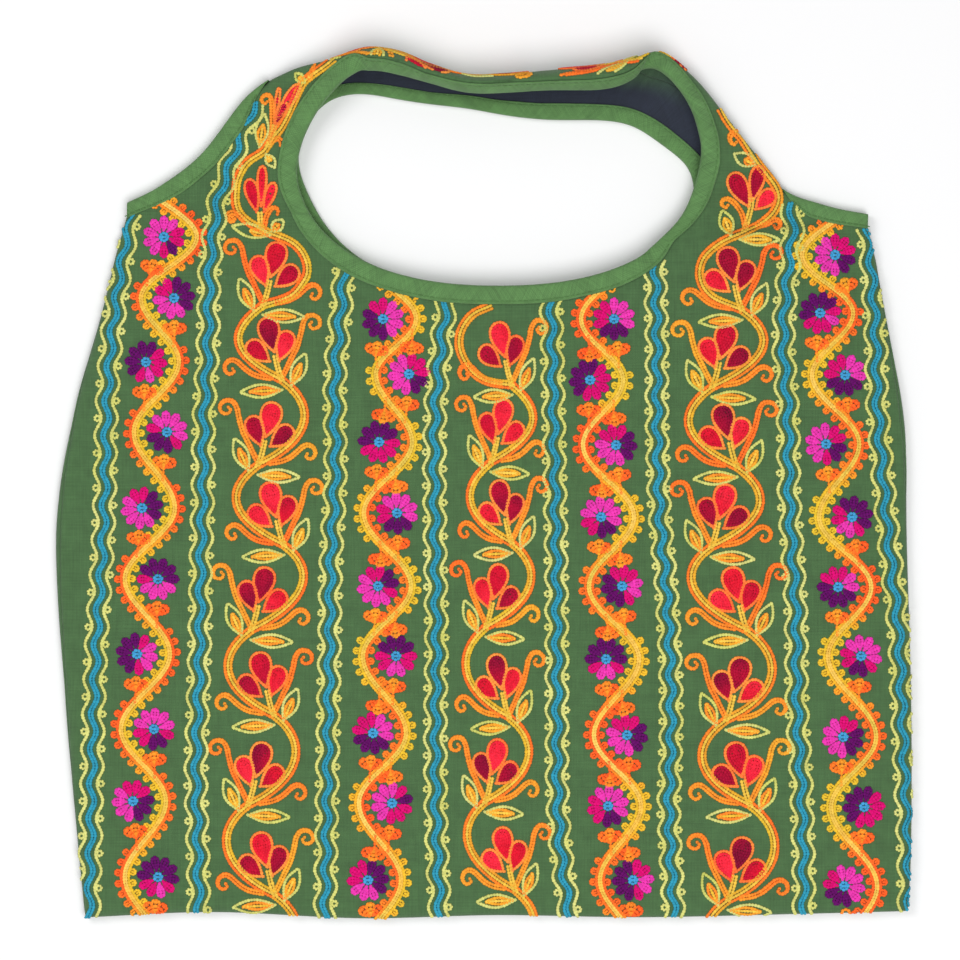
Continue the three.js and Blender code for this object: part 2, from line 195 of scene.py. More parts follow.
def table_rows():
    """Both tables as one list of rows with the same columns."""
    rows = []
    for values in STRAP_ROWS:
        row = dict(zip(STRAP_COLUMNS, values))
        row.update(halved=1 - row["bound"], lap=0)
        rows.append(row)
    for values in BODY_ROWS:
        row = dict(zip(BODY_COLUMNS, values))
        scoop = row.pop("scoop")
        row["front_x"], row["front_y"] = scoop_point(FRONT_SCOOP, scoop)
        row["back_x"], row["back_y"] = scoop_point(BACK_SCOOP, scoop)
        rise = math.sin(math.radians(scoop)) ** 2
        row["front_z"] = SHOULDER_MOUTH + (SCOOP_MOUTH - SHOULDER_MOUTH) * rise
        row.update(top=BODY_EDGE_TOP, under=FLOOR_CLOTH, halved=0, bound=0)
        rows.append(row)
    return rows


def spread_rows(rows):
    """Smooth sections between the rows; the rim keeps its corners, heights leave a bound row flat."""
    count = len(rows)
    index = np.repeat(np.arange(count), STEPS)
    after = (index + 1) % count
    share = np.tile(np.arange(STEPS) / STEPS, count)
    column = {key: np.array([row[key] for row in rows], float) for key in rows[0]}
    bound, corner = column["bound"] > 0, column["corner"] > 0
    leaving = bound[index] & ~bound[after]
    arriving = bound[after] & ~bound[index]
    eased = np.where(leaving, share ** 2, np.where(arriving, 1 - (1 - share) ** 2, share))
    held = np.where(leaving, 1 - 2 * share, np.where(arriving, 2 * share - 1, bound[index]))
    sections = {"held": np.clip(held, 0, 1)}
    for key, value in column.items():
        start, end = value[index], value[after]
        if key in ("top", "under", "halved", "lap"):
            sections[key] = start + (end - start) * eased
            continue
        leave = (end - value[index - 1]) / 2
        arrive = (value[(index + 2) % count] - start) / 2
        if key in ("rim_x", "rim_y"):
            leave = np.where(corner[index], end - start, leave)
            arrive = np.where(corner[after], end - start, arrive)
        s2, s3 = share ** 2, share ** 3
        sections[key] = ((2 * s3 - 3 * s2 + 1) * start + (s3 - 2 * s2 + share) * leave
                         + (3 * s2 - 2 * s3) * end + (s3 - s2) * arrive)
    rim = np.stack([sections["rim_x"], sections["rim_y"]], 1)
    ahead, behind = np.roll(rim, -1, 0), np.roll(rim, 1, 0)
    armhole_end = (len(STRAP_ROWS) - 1) * STEPS
    behind[0], ahead[armhole_end] = rim[0], rim[armhole_end]
    along = ahead - behind
    along /= np.linalg.norm(along, axis=1, keepdims=True)
    sections["outward"] = np.stack([-along[:, 1], along[:, 0]], 1)
    return sections


def ease_neck(sections, reach):
    """Take the small kinks out of the neck edges, as the pull of the bindings does."""
    for side in ("front", "back"):
        keys = (f"{side}_x", f"{side}_y")
        edge = np.stack([sections[key] for key in keys], 1)
        step = np.linalg.norm(np.roll(edge, -1, 0) - edge, axis=1)
        run = np.concatenate([[0], np.cumsum(step)[:-1]])
        apart = np.abs(run[:, None] - run[None, :])
        apart = np.minimum(apart, step.sum() - apart)
        weight = np.exp(-(apart / reach) ** 2) * (step + np.roll(step, 1))[None, :]
        eased = weight @ edge / weight.sum(1, keepdims=True)
        for k, key in enumerate(keys):
            sections[key] = eased[:, k]


def smoothstep(value, low, high):
    share = np.clip((value - low) / max(high - low, 1e-6), 0, 1)
    return share * share * (3 - 2 * share)


def section_line(sections, i):
    """Middle line of the cloth from the front neck edge, round the rim, to the back neck edge."""
    at = {key: value[i] for key, value in sections.items()}
    front = np.array([at["front_x"], at["front_y"], at["front_z"]])
    back = np.array([at["back_x"], at["back_y"], BOUND_BACK])
    heading = np.array([at["rim_x"] - front[0], at["rim_y"] - front[1], 0.0])
    reach = np.linalg.norm(heading)
    heading /= reach
    slant = max(LEAST_SLANT, heading[:2] @ at["outward"])
    turn_up = (at["top"] - at["under"]) / 2
    turn_out = min(TURN_DEPTH * turn_up / slant, TURN_SHARE * reach)
    flat = at["held"] * (BOUND_LENGTH / slant + 1)
    inset = CLOTH / 2 + at["held"] * ((EDGE_INSET + CLOTH / 2) / slant - CLOTH / 2)
    apex = np.array([at["rim_x"], at["rim_y"], (at["top"] + at["under"]) / 2]) - heading * inset
    turn = apex - heading * turn_out
    upper, lower = turn.copy(), turn.copy()
    upper[2], lower[2] = at["top"], at["under"]
    settle = upper - heading * min(flat, TURN_SHARE * reach)
    face = np.linalg.norm(settle[:2] - front[:2])
    crown = BODY_CROWN * min(1, face / CROWN_SPAN)
    arch = ARCH_SHARE * max(0, at["top"] - at["front_z"])
    handle = front + heading * HANDLE_SHARE * face + np.array([0, 0, crown + arch])
    landing = settle - heading * LANDING_SHARE * face + np.array([0, 0, crown])
    t = np.linspace(0, 1, CURVE_STEPS + 1)[:, None]
    rise = ((1 - t) ** 3 * front + 3 * t * (1 - t) ** 2 * handle
            + 3 * t ** 2 * (1 - t) * landing + t ** 3 * settle)
    angle = np.linspace(0, math.pi, CURVE_STEPS + 1)[:, None]
    bend = turn + heading * turn_out * np.sin(angle)
    bend[:, 2] = apex[2] + turn_up * np.cos(angle[:, 0])
    share = np.linspace(0, 1, 2 * CURVE_STEPS + 1)[1:, None]
    under = lower + (back - lower) * share
    run = np.linalg.norm(back[:2] - lower[:2])
    settle_end = min(BOUND_LENGTH + SETTLE_LENGTH, run - flat)
    lifted = smoothstep(run * (1 - share[:, 0]), BOUND_LENGTH, settle_end)
    under[:, 2] = BOUND_BACK + (at["under"] - BOUND_BACK) * lifted
    points = np.concatenate([rise, bend, under])
    lengths = np.concatenate([[0], np.cumsum(np.linalg.norm(np.diff(points, axis=0), axis=1))])
    apex_length = lengths[CURVE_STEPS + 1 + CURVE_STEPS // 2]
    seam = apex_length + (lengths[-1] / 2 - apex_length) * at["halved"] - at["lap"]
    return {"points": points, "lengths": lengths, "seam": seam, "heading": heading[:2], "front": front[:2]}


def panel_points(line, lengths, side):
    """Places at the given lengths from a panel's neck edge, straight inside its binding."""
    total = line["lengths"][-1]
    measured = lengths if side == "front" else total - lengths
    bound = BOUND_LENGTH if side == "front" else total - BOUND_LENGTH
    edge = 0 if side == "front" else total

    def at(value):
        return np.stack([np.interp(value, line["lengths"], line["points"][:, k]) for k in range(3)], -1)

    share = np.clip(lengths / BOUND_LENGTH, 0, 1)[:, None]
    chord = at(edge) + (at(bound) - at(edge)) * share
    return np.where(lengths[:, None] < BOUND_LENGTH, chord, at(measured))


def ring_lengths(line, side):
    end = (line["seam"] if side == "front" else line["lengths"][-1] - line["seam"]) - SEAM_GAP / 2
    face = end - BOUND_LENGTH
    turn = end - min(TURN_LENGTH, TURN_SHARE_OF_FACE * face)
    return np.concatenate([
        BOUND_RINGS,
        np.linspace(BOUND_LENGTH, turn, FACE_RINGS[side], endpoint=False),
        np.linspace(turn, end, TURN_RINGS),
    ])


def grid_normals(grid):
    along = np.roll(grid, -1, 0) - np.roll(grid, 1, 0)
    across = np.gradient(grid, axis=1)
    normal = np.cross(along, across)
    return normal / np.linalg.norm(normal, axis=2, keepdims=True)


def waves(x, y, scale, seed):
    """Smooth random swells, from about -1 to 1, over flat places."""
    shape = np.shape(x)
    values = [noise.noise((px / scale, py / scale, seed)) for px, py in zip(np.ravel(x), np.ravel(y))]
    return np.reshape(values, shape)


def new_piece(name, mesh):
    piece = bpy.data.objects.new(name, mesh)
    bpy.context.scene.collection.objects.link(piece)
    return piece


def cloth_wall(name, middle, normal, flat, outside):
    """A closed wall of cloth on a grid that runs round the neck opening."""
    count, rings = middle.shape[:2]
    upper = middle + normal * CLOTH / 2
    lower = middle - normal * CLOTH / 2
    points = np.concatenate([upper.reshape(-1, 3), lower.reshape(-1, 3)]) * MM
    i = np.arange(count)[:, None]
    j = np.arange(rings - 1)[None, :]
    here, there = i * rings + j, ((i + 1) % count) * rings + j
    below = count * rings
    top = np.stack([here, there, there + 1, here + 1], -1).reshape(-1, 4)
    base = np.stack([here + 1, there + 1, there, here], -1).reshape(-1, 4) + below
    a, b = np.arange(count) * rings, ((np.arange(count) + 1) % count) * rings
    last = rings - 1
    neck = np.stack([a, a + below, b + below, b], -1)
    seam = np.stack([b + last, b + last + below, a + last + below, a + last], -1)
    faces = np.concatenate([top, base, neck, seam])
    mesh = bpy.data.meshes.new(name)
    mesh.from_pydata(points.tolist(), [], faces.tolist())
    mesh.shade_smooth()
    corner = np.empty(len(mesh.loops), int)
    mesh.loops.foreach_get("vertex_index", corner)
    laid = np.concatenate([flat.reshape(-1, 2)] * 2) * MM
    mesh.uv_layers.new(name="cut").data.foreach_set("uv", laid[corner].ravel())
    inside = np.concatenate([np.full(below, 1 - outside), np.full(below, outside)])
    # Painted shade: the dark inside colour weakens higher up, where the raised inner faces would catch light.
    inside = inside * (1 - PAINTED_SHADE_FADE_SHARE * smoothstep(points[:, 2] / MM, *PAINTED_SHADE_FADE_HEIGHTS))
    mesh.attributes.new("inside", "FLOAT", "POINT").data.foreach_set("value", inside)
    return new_piece(name, mesh), len(top)


def linear(red, green, blue):
    """A colour as the eye reads it, 0 to 255, as light."""
    share = np.array([red, green, blue]) / 255
    return tuple(np.where(share <= 0.04045, share / 12.92, ((share + 0.055) / 1.055) ** 2.4)) + (1.0,)


def wire(tree, pairs):
    for source, target in pairs:
        tree.links.new(source, target)


def math_node(tree, operation, *values):
    node = tree.nodes.new("ShaderNodeMath")
    node.operation = operation
    for socket, value in zip(node.inputs, values):
        if isinstance(value, (int, float)):
            socket.default_value = value
        else:
            tree.links.new(value, socket)
    return node.outputs[0]


SLUB_LONG = 0.045


def weave_group():
    """Plain weave with uneven threads: a tint to multiply by and a height."""
    tree = bpy.data.node_groups.new("plain_weave", "ShaderNodeTree")
    for label, kind in (("Cut", "Vector"), ("Threads", "Float"), ("Slub", "Float")):
        tree.interface.new_socket(label, in_out="INPUT", socket_type=f"NodeSocket{kind}")
    for label in ("Tint", "Height"):
        tree.interface.new_socket(label, in_out="OUTPUT", socket_type="NodeSocketFloat")
    given = tree.nodes.new("NodeGroupInput").outputs
    result = tree.nodes.new("NodeGroupOutput").inputs
    split = tree.nodes.new("ShaderNodeSeparateXYZ")
    wire(tree, [(given["Cut"], split.inputs[0])])
    ridges = []
    streaks = []
    for axis, stretch in (("X", (1.0, SLUB_LONG, 1.0)), ("Y", (SLUB_LONG, 1.0, 1.0))):
        turns = math_node(tree, "MULTIPLY", split.outputs[axis], given["Threads"])
        wave = math_node(tree, "SINE", math_node(tree, "MULTIPLY", turns, math.pi))
        ridges.append(math_node(tree, "ABSOLUTE", wave))
        mapping = tree.nodes.new("ShaderNodeMapping")
        mapping.inputs["Scale"].default_value = stretch
        grain = tree.nodes.new("ShaderNodeTexNoise")
        grain.inputs["Scale"].default_value = 1500.0
        grain.inputs["Detail"].default_value = 3.0
        wire(tree, [(given["Cut"], mapping.inputs["Vector"]), (mapping.outputs[0], grain.inputs["Vector"])])
        streaks.append(grain.outputs["Fac"])
    pillow = math_node(tree, "MULTIPLY", *ridges)
    mottle = tree.nodes.new("ShaderNodeTexNoise")
    mottle.inputs["Scale"].default_value = 140.0
    mottle.inputs["Detail"].default_value = 4.0
    wire(tree, [(given["Cut"], mottle.inputs["Vector"])])
    streak = math_node(tree, "ADD", math_node(tree, "ADD", *streaks), mottle.outputs["Fac"])
    uneven = math_node(tree, "SUBTRACT", streak, 1.5)
    shade = math_node(tree, "MULTIPLY", uneven, given["Slub"])
    tint = math_node(tree, "ADD", math_node(tree, "MULTIPLY_ADD", pillow, 0.22, 0.86), shade)
    height = math_node(tree, "MULTIPLY_ADD", uneven, 0.4, pillow)
    wire(tree, [(tint, result["Tint"]), (height, result["Height"])])
    return tree


plain_weave = weave_group()
THREADS_PER_METRE = 1450.0


def cotton(name, face_colour, inside_colour, slub, bump):
    """Dyed cotton: the face's colour outside, a second colour inside, both broken up by the weave; on the
    panels the inside colour is darkened as painted shade.
    """
    material = bpy.data.materials.new(name)
    material.use_nodes = True
    tree = material.node_tree
    shader = tree.nodes["Principled BSDF"]
    cut = tree.nodes.new("ShaderNodeUVMap")
    cut.uv_map = "cut"
    weave = tree.nodes.new("ShaderNodeGroup")
    weave.node_tree = plain_weave
    weave.inputs["Threads"].default_value = THREADS_PER_METRE
    weave.inputs["Slub"].default_value = slub
    inside = tree.nodes.new("ShaderNodeAttribute")
    inside.attribute_name = "inside"
    sides = tree.nodes.new("ShaderNodeMix")
    sides.data_type = "RGBA"
    sides.inputs["A"].default_value = face_colour
    sides.inputs["B"].default_value = inside_colour
    dyed = tree.nodes.new("ShaderNodeMix")
    dyed.data_type = "RGBA"
    dyed.blend_type = "MULTIPLY"
    dyed.inputs["Factor"].default_value = 1.0
    relief = tree.nodes.new("ShaderNodeBump")
    relief.inputs["Strength"].default_value = bump
    relief.inputs["Distance"].default_value = 0.0004
    wire(tree, [
        (cut.outputs[0], weave.inputs["Cut"]),
        (inside.outputs["Fac"], sides.inputs["Factor"]),
        (sides.outputs["Result"], dyed.inputs["A"]),
        (weave.outputs["Tint"], dyed.inputs["B"]),
        (dyed.outputs["Result"], shader.inputs["Base Color"]),
        (weave.outputs["Height"], relief.inputs["Height"]),
        (relief.outputs["Normal"], shader.inputs["Normal"]),
    ])
    shader.inputs["Roughness"].default_value = 0.88
    shader.inputs["Sheen Weight"].default_value = 0.12
    shader.inputs["Sheen Roughness"].default_value = 0.5
    return material


PANEL_GREEN = linear(70, 106, 62)
# The panels' inside colour is their green cloth darkened to slate: painted shade for the inside of the bag.
INSIDE_GREEN_PAINTED_SHADE = linear(36, 43, 58)
PANEL_SLUB, PANEL_BUMP = 0.45, 0.5
sections = spread_rows(table_rows())
ease_neck(sections, NECK_EASE)
section_count = len(sections["held"])
lines = [section_line(sections, i) for i in range(section_count)]
panels = {}
for side in ("front", "back"):
    lengths = np.stack([ring_lengths(line, side) for line in lines])
    middle = np.stack([panel_points(line, lengths[i], side) for i, line in enumerate(lines)])
    start = np.stack([panel_points(line, np.array([0.0]), side)[0, :2] for line in lines])
    ways = np.stack([line["heading"] for line in lines])
    flat = start[:, None, :] + ways[:, None, :] * lengths[:, :, None]
    normal = grid_normals(middle)
    inner = smoothstep(lengths, BOUND_LENGTH, BOUND_LENGTH + SWELL_FROM_STRIP)
    outer = smoothstep(lengths[:, -1:] - lengths, *SWELL_FROM_SEAM)
    room = inner * outer
    swell = sum(height * waves(flat[..., 0], flat[..., 1], wide, seed) for height, wide, seed in SWELLS)
    pucker = smoothstep(lengths, *PUCKER_RISE) * (1 - smoothstep(lengths, *PUCKER_FADE)) * outer
    run = np.cumsum(np.linalg.norm(np.roll(start, -1, 0) - start, axis=1))
    creases = np.array([noise.noise((value / PUCKER_PITCH, 0.0, PUCKER_SEED)) for value in run])[:, None]
    relief = room * swell + PUCKER * pucker * creases
    if side == "back":
        relief = np.maximum(relief, 0) * BACK_RELIEF
    middle = middle + normal * relief[..., None]
    panels[side] = {"lengths": lengths, "middle": middle, "normal": grid_normals(middle), "flat": flat}

front_cloth, front_faces = cloth_wall(
    "front_panel_cloth", panels["front"]["middle"], panels["front"]["normal"], panels["front"]["flat"], 1)
back_cloth, _ = cloth_wall(
    "back_panel_cloth", panels["back"]["middle"], panels["back"]["normal"], panels["back"]["flat"], 0)
for cloth, node, slot in ((front_cloth, "front_panel", "green_cotton_front"),
                          (back_cloth, "back_panel", "green_cotton_back")):
    cloth.data.materials.append(cotton(slot, PANEL_GREEN, INSIDE_GREEN_PAINTED_SHADE, PANEL_SLUB, PANEL_BUMP))
    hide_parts(node)
    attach(cloth, "root")

# Neck bindings: a bias-cut strip of lighter green cotton folded over each panel's neck edge,
# its raw sides turned under, and sewn through all layers close to the strip's outer edge.
STITCH_DEPTH, STITCH_HEIGHT = 7.7, 1.7
STRIP_UNEVEN, UNEVEN_PITCH, UNEVEN_SEED = 0.35, 14.0, 2.5
STRIP_PUCKER, STRIP_PUCKER_PITCH, STRIP_PUCKER_SEED = 0.22, 3.6, 9.5
FOLD_HEIGHT, FACE_HEIGHT = 0.6, 1.3
FLAT_SHARE = 0.4
PROFILE_STEP = 1.1
STRIP_PROFILE = (
    (9.0, 1.15), (9.2, 1.55), (8.95, 1.9), (8.4, 2.0), (7.7, 1.72), (7.0, 2.02), (5.0, 2.1), (3.0, 2.1),
    (1.5, 2.02), (0.6, 1.7), (0.12, 1.05), (0.0, 0.0), (0.12, -1.05), (0.6, -1.7), (1.5, -1.98),
    (3.2, -2.0), (5.6, -1.95), (6.1, -1.55), (5.9, -1.15), (3.0, -1.02), (1.25, -1.0), (0.95, -0.5),
    (0.95, 0.5), (1.25, 1.0), (5.0, 1.04),
)
# The back strip is drawn narrower along the strap, where its upper part lies in shade, so the dark
# painted-shade inside cloth shows there instead: shares of its width at stations of the strap's table.
BACK_STATIONS = (3.0, 4.5, 8.5, 11.0, 15.0, 17.0)
BACK_SHARES = (1.0, 0.6, 0.66, 0.85, 0.9, 1.0)
STRIP_GREEN = linear(90, 133, 75)
STRIP_INSIDE = linear(84, 122, 74)
STRIP_SLUB, STRIP_BUMP = 0.6, 0.5


def strip_mesh(name, origins, inward, up, closed, heights, share):
    """A folded strip swept along an edge, a little uneven in width and puckered by its sewing."""
    profile = np.array(STRIP_PROFILE)
    above, below = heights
    count, sides = len(origins), len(profile)
    run = np.concatenate([[0], np.cumsum(np.linalg.norm(np.diff(origins, axis=0), axis=1))])
    uneven = np.array([noise.noise((value / UNEVEN_PITCH, UNEVEN_SEED, 0.0)) for value in run])
    puckers = np.array([noise.noise((value / STRIP_PUCKER_PITCH, STRIP_PUCKER_SEED, 0.0)) for value in run])
    points = np.empty((count, sides, 3))
    laid = np.empty((count, sides, 2))
    depth_share = profile[:, 0] / STRIP_WIDTH
    for k, (depth, height) in enumerate(profile):
        width = (depth + STRIP_UNEVEN * uneven * depth_share[k]) * share
        level = above if height > FOLD_HEIGHT else below if height < -FOLD_HEIGHT else (above + below) / 2
        level = level + height * (FLAT_SHARE + (1 - FLAT_SHARE) * share)
        if abs(height) > FACE_HEIGHT:
            bulge = STRIP_PUCKER * puckers * math.sin(math.pi * min(1, depth_share[k]))
            level = level + bulge * math.copysign(1, height)
        points[:, k] = origins + inward * width[:, None] + up * level[:, None]
        laid[:, k, 0] = run
        laid[:, k, 1] = k * PROFILE_STEP
    i = np.arange(count if closed else count - 1)[:, None]
    k = np.arange(sides)[None, :]
    here, there = i * sides, ((i + 1) % count) * sides
    beside = (k + 1) % sides
    faces = np.stack([here + k, here + beside, there + beside, there + k], -1).reshape(-1, 4).tolist()
    if not closed:
        faces.append(list(reversed(range(sides))))
        faces.append([(count - 1) * sides + value for value in range(sides)])
    mesh = bpy.data.meshes.new(name)
    mesh.from_pydata((points.reshape(-1, 3) * MM).tolist(), [], faces)
    mesh.shade_smooth()
    corner = np.empty(len(mesh.loops), int)
    mesh.loops.foreach_get("vertex_index", corner)
    turned = np.stack([laid[..., 0] + laid[..., 1], laid[..., 1] - laid[..., 0]], -1) * math.sqrt(0.5)
    mesh.uv_layers.new(name="cut").data.foreach_set("uv", (turned.reshape(-1, 2) * MM)[corner].ravel())
    mesh.attributes.new("inside", "FLOAT", "POINT").data.foreach_set("value", np.zeros(count * sides))
    return mesh


strip_runs = []
binding_pieces = []
for side in ("front", "back"):
    edge = np.stack([panel_points(line, np.array([0.0]), side)[0] for line in lines])
    held_end = np.stack([panel_points(line, np.array([BOUND_LENGTH]), side)[0] for line in lines])
    inward = held_end - edge
    inward /= np.linalg.norm(inward, axis=1, keepdims=True)
    up = np.cross(np.roll(edge, -1, 0) - np.roll(edge, 1, 0), inward)
    up /= np.linalg.norm(up, axis=1, keepdims=True)
    share = np.ones(section_count)
    if side == "back":
        share = np.interp(np.arange(section_count) / STEPS, BACK_STATIONS, BACK_SHARES)
    name = f"{side}_neck_binding_strip"
    piece = new_piece(name, strip_mesh(name, edge, inward, up, True, np.zeros((2, section_count)), share))
    slot = f"{side}_neck_strip"
    piece.data.materials.append(cotton(slot, STRIP_GREEN, STRIP_INSIDE, STRIP_SLUB, STRIP_BUMP))
    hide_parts(f"{side}_neck_binding")
    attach(piece, "root")
    binding_pieces.append(piece)
    stitch_line = edge + inward * (STITCH_DEPTH * share)[:, None] + up * STITCH_HEIGHT
    strip_runs.append((stitch_line, up, True))

# Shoulder bindings: the same strip folded over the edges of both panels together where the
# armhole-like curves of the shoulders meet the sides. Its lower end is caught in the side seam and
# its upper end runs out to nothing where the strap begins to roll.
SEAM_LEAN_REACH = 14.0
END_NARROWS = 24.0
LEAST_STRIP, LEAST_SEWN = 0.06, 0.4
# Stations of the strap's table where the strip meets the side seam, is still full and has run out; how far
# its edge moves in as it thins; its width on the way and at the seam; how far its end leans to the seam.
SHOULDERS = {
    "left": {"corner": 0, "full": 2.6, "thin": 3.5, "tuck": -0.5,
             "wide": 0.92, "end": 0.72, "lean": 0.62},
    "right": {"corner": 21, "full": 19.6, "thin": 18.8, "tuck": 1.2,
              "wide": 0.84, "end": 0.76, "lean": 0.4},
}
for side, shoulder in SHOULDERS.items():
    ends = sorted((shoulder["corner"], shoulder["thin"]))
    span = np.arange(round(ends[1] * STEPS), round(ends[0] * STEPS) - 1, -1)
    share = (span / STEPS - shoulder["thin"]) / (shoulder["full"] - shoulder["thin"])
    share = np.clip(share, LEAST_STRIP, 1)
    inward = np.concatenate([-sections["outward"][span], np.zeros((len(span), 1))], 1)
    edge = np.stack([sections["rim_x"][span], sections["rim_y"][span], np.zeros(len(span))], 1)
    corner = shoulder["corner"] * STEPS
    beyond = corner + (-1 if side == "left" else 1)
    seam_way = np.array([sections[key][beyond] - sections[key][corner] for key in ("rim_x", "rim_y")])
    seam_way = np.append(seam_way, 0.0)
    at_corner = inward[list(span).index(corner)]
    lean = shoulder["lean"] * (seam_way / (seam_way @ at_corner) - at_corner)
    away = np.linalg.norm(edge - edge[list(span).index(corner)], axis=1)
    widening = smoothstep(away, 0, END_NARROWS)
    share = share * (shoulder["end"] + (shoulder["wide"] - shoulder["end"]) * widening)
    inward = inward + lean * (np.clip(1 - away / SEAM_LEAN_REACH, 0, 1) ** 2)[:, None]
    edge = edge + inward * (shoulder["tuck"] * (1 - share))[:, None]
    up = np.tile([0.0, 0.0, 1.0], (len(span), 1))
    heights = np.stack([sections["top"][span], sections["under"][span]])
    name = f"{side}_shoulder_binding_strip"
    piece = new_piece(name, strip_mesh(name, edge, inward, up, False, heights, share))
    slot = f"{side}_shoulder_strip"
    piece.data.materials.append(cotton(slot, STRIP_GREEN, STRIP_INSIDE, STRIP_SLUB, STRIP_BUMP))
    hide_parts(f"{side}_shoulder_binding")
    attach(piece, "root")
    binding_pieces.append(piece)
    sewn = share > LEAST_SEWN
    stitch_line = edge + inward * (STITCH_DEPTH * share)[:, None] + up * (heights[0] + STITCH_HEIGHT)[:, None]
    strip_runs.append((stitch_line[sewn], up[sewn], False))

# Embroidery ground: every row is chain stitch in thick soft cotton thread, worked from above with a
# hook, loop in loop. The rows follow a drawn pattern and lie on the front panel's outer face only.
PATH_STEP = 1.5
STITCH_LENGTH = 1.4
FINE_ROW = 1.75
THREAD_LIFT = 0.04
LEAST_RUN = 3
DYE_PATCH, DYE_SEED = 60.0, 4.2
DYE_SWING, LEANING_SWING = 0.9, 0.35
LINE_STEP = 1.0
STRAP_SPAN = (5.0, 14.8)
RING_POINTS = 13
STRAP_STRIP_ROOM, STRAP_SEAM_ROOM = 1.0, 0.8
CHAIN_LINK = ((0.66, 0.0, 0.36), (0.10, 0.50, 0.40), (-0.80, 0.34, 0.27),
              (-0.80, -0.34, 0.27), (0.10, -0.50, 0.40))


def one_stitch(name, outline, middle):
    """One stitch, in shares of its pitch and width, from its outline with the heights along it."""
    count = len(outline)
    points = [(x, y, 0.0) for x, y, _ in outline]
    points += [(0.8 * x, 0.7 * y, height) for x, y, height in outline]
    points.append(middle)
    turns = [(i, (i + 1) % count) for i in range(count)]
    faces = [(a, b, b + count, a + count) for a, b in turns]
    faces += [(a + count, b + count, 2 * count) for a, b in turns]
    faces.append(tuple(reversed(range(count))))
    mesh = bpy.data.meshes.new(name)
    mesh.from_pydata(points, [], faces)
    mesh.shade_smooth()
    return new_piece(name, mesh)


def stitch_tree():
    """Loops set end to end along drawn lines, upright on the cloth, a little uneven."""
    tree = bpy.data.node_groups.new("chain_stitch", "GeometryNodeTree")
    for label, kind in (("Geometry", "Geometry"), ("Stitch Length", "Float"), ("Seed", "Int"),
                        ("Loop", "Object"), ("Thread", "Material")):
        tree.interface.new_socket(label, in_out="INPUT", socket_type=f"NodeSocket{kind}")
    tree.interface.new_socket("Geometry", in_out="OUTPUT", socket_type="NodeSocketGeometry")
    given = tree.nodes.new("NodeGroupInput").outputs
    result = tree.nodes.new("NodeGroupOutput").inputs
    curve = tree.nodes.new("GeometryNodeMeshToCurve")
    steps = tree.nodes.new("GeometryNodeResampleCurve")
    steps.mode = "LENGTH"
    upright = tree.nodes.new("GeometryNodeInputNamedAttribute")
    upright.data_type = "FLOAT_VECTOR"
    upright.inputs["Name"].default_value = "cloth_normal"
    broad = tree.nodes.new("GeometryNodeInputNamedAttribute")
    broad.data_type = "FLOAT"
    broad.inputs["Name"].default_value = "row_width"
    tangent = tree.nodes.new("GeometryNodeInputTangent")
    turned = tree.nodes.new("FunctionNodeAxesToRotation")
    turned.primary_axis, turned.secondary_axis = "Z", "X"
    uneven = tree.nodes.new("FunctionNodeRandomValue")
    uneven.data_type = "FLOAT"
    uneven.inputs[2].default_value, uneven.inputs[3].default_value = 0.9, 1.1
    width = tree.nodes.new("ShaderNodeMath")
    width.operation = "MULTIPLY"
    size = tree.nodes.new("ShaderNodeCombineXYZ")
    loop = tree.nodes.new("GeometryNodeObjectInfo")
    placed = tree.nodes.new("GeometryNodeInstanceOnPoints")
    shade = tree.nodes.new("FunctionNodeRandomValue")
    shade.data_type = "FLOAT"
    store = tree.nodes.new("GeometryNodeStoreNamedAttribute")
    store.data_type, store.domain = "FLOAT", "INSTANCE"
    store.inputs["Name"].default_value = "tone"
    real = tree.nodes.new("GeometryNodeRealizeInstances")
    dyed = tree.nodes.new("GeometryNodeSetMaterial")
    wire(tree, [
        (given["Geometry"], curve.inputs["Mesh"]),
        (curve.outputs["Curve"], steps.inputs["Curve"]),
        (given["Stitch Length"], steps.inputs["Length"]),
        (steps.outputs["Curve"], placed.inputs["Points"]),
        (upright.outputs["Attribute"], turned.inputs["Primary Axis"]),
        (tangent.outputs["Tangent"], turned.inputs["Secondary Axis"]),
        (turned.outputs["Rotation"], placed.inputs["Rotation"]),
        (given["Seed"], uneven.inputs["Seed"]),
        (uneven.outputs[1], width.inputs[0]),
        (broad.outputs["Attribute"], width.inputs[1]),
        (given["Stitch Length"], size.inputs["X"]),
        (width.outputs[0], size.inputs["Y"]),
        (broad.outputs["Attribute"], size.inputs["Z"]),
        (size.outputs[0], placed.inputs["Scale"]),
        (given["Loop"], loop.inputs["Object"]),
        (loop.outputs["Geometry"], placed.inputs["Instance"]),
        (given["Seed"], shade.inputs["Seed"]),
        (placed.outputs["Instances"], store.inputs["Geometry"]),
        (shade.outputs[1], store.inputs["Value"]),
        (store.outputs["Geometry"], real.inputs["Geometry"]),
        (real.outputs["Geometry"], dyed.inputs["Geometry"]),
        (given["Thread"], dyed.inputs["Material"]),
        (dyed.outputs["Geometry"], result["Geometry"]),
    ])
    return tree


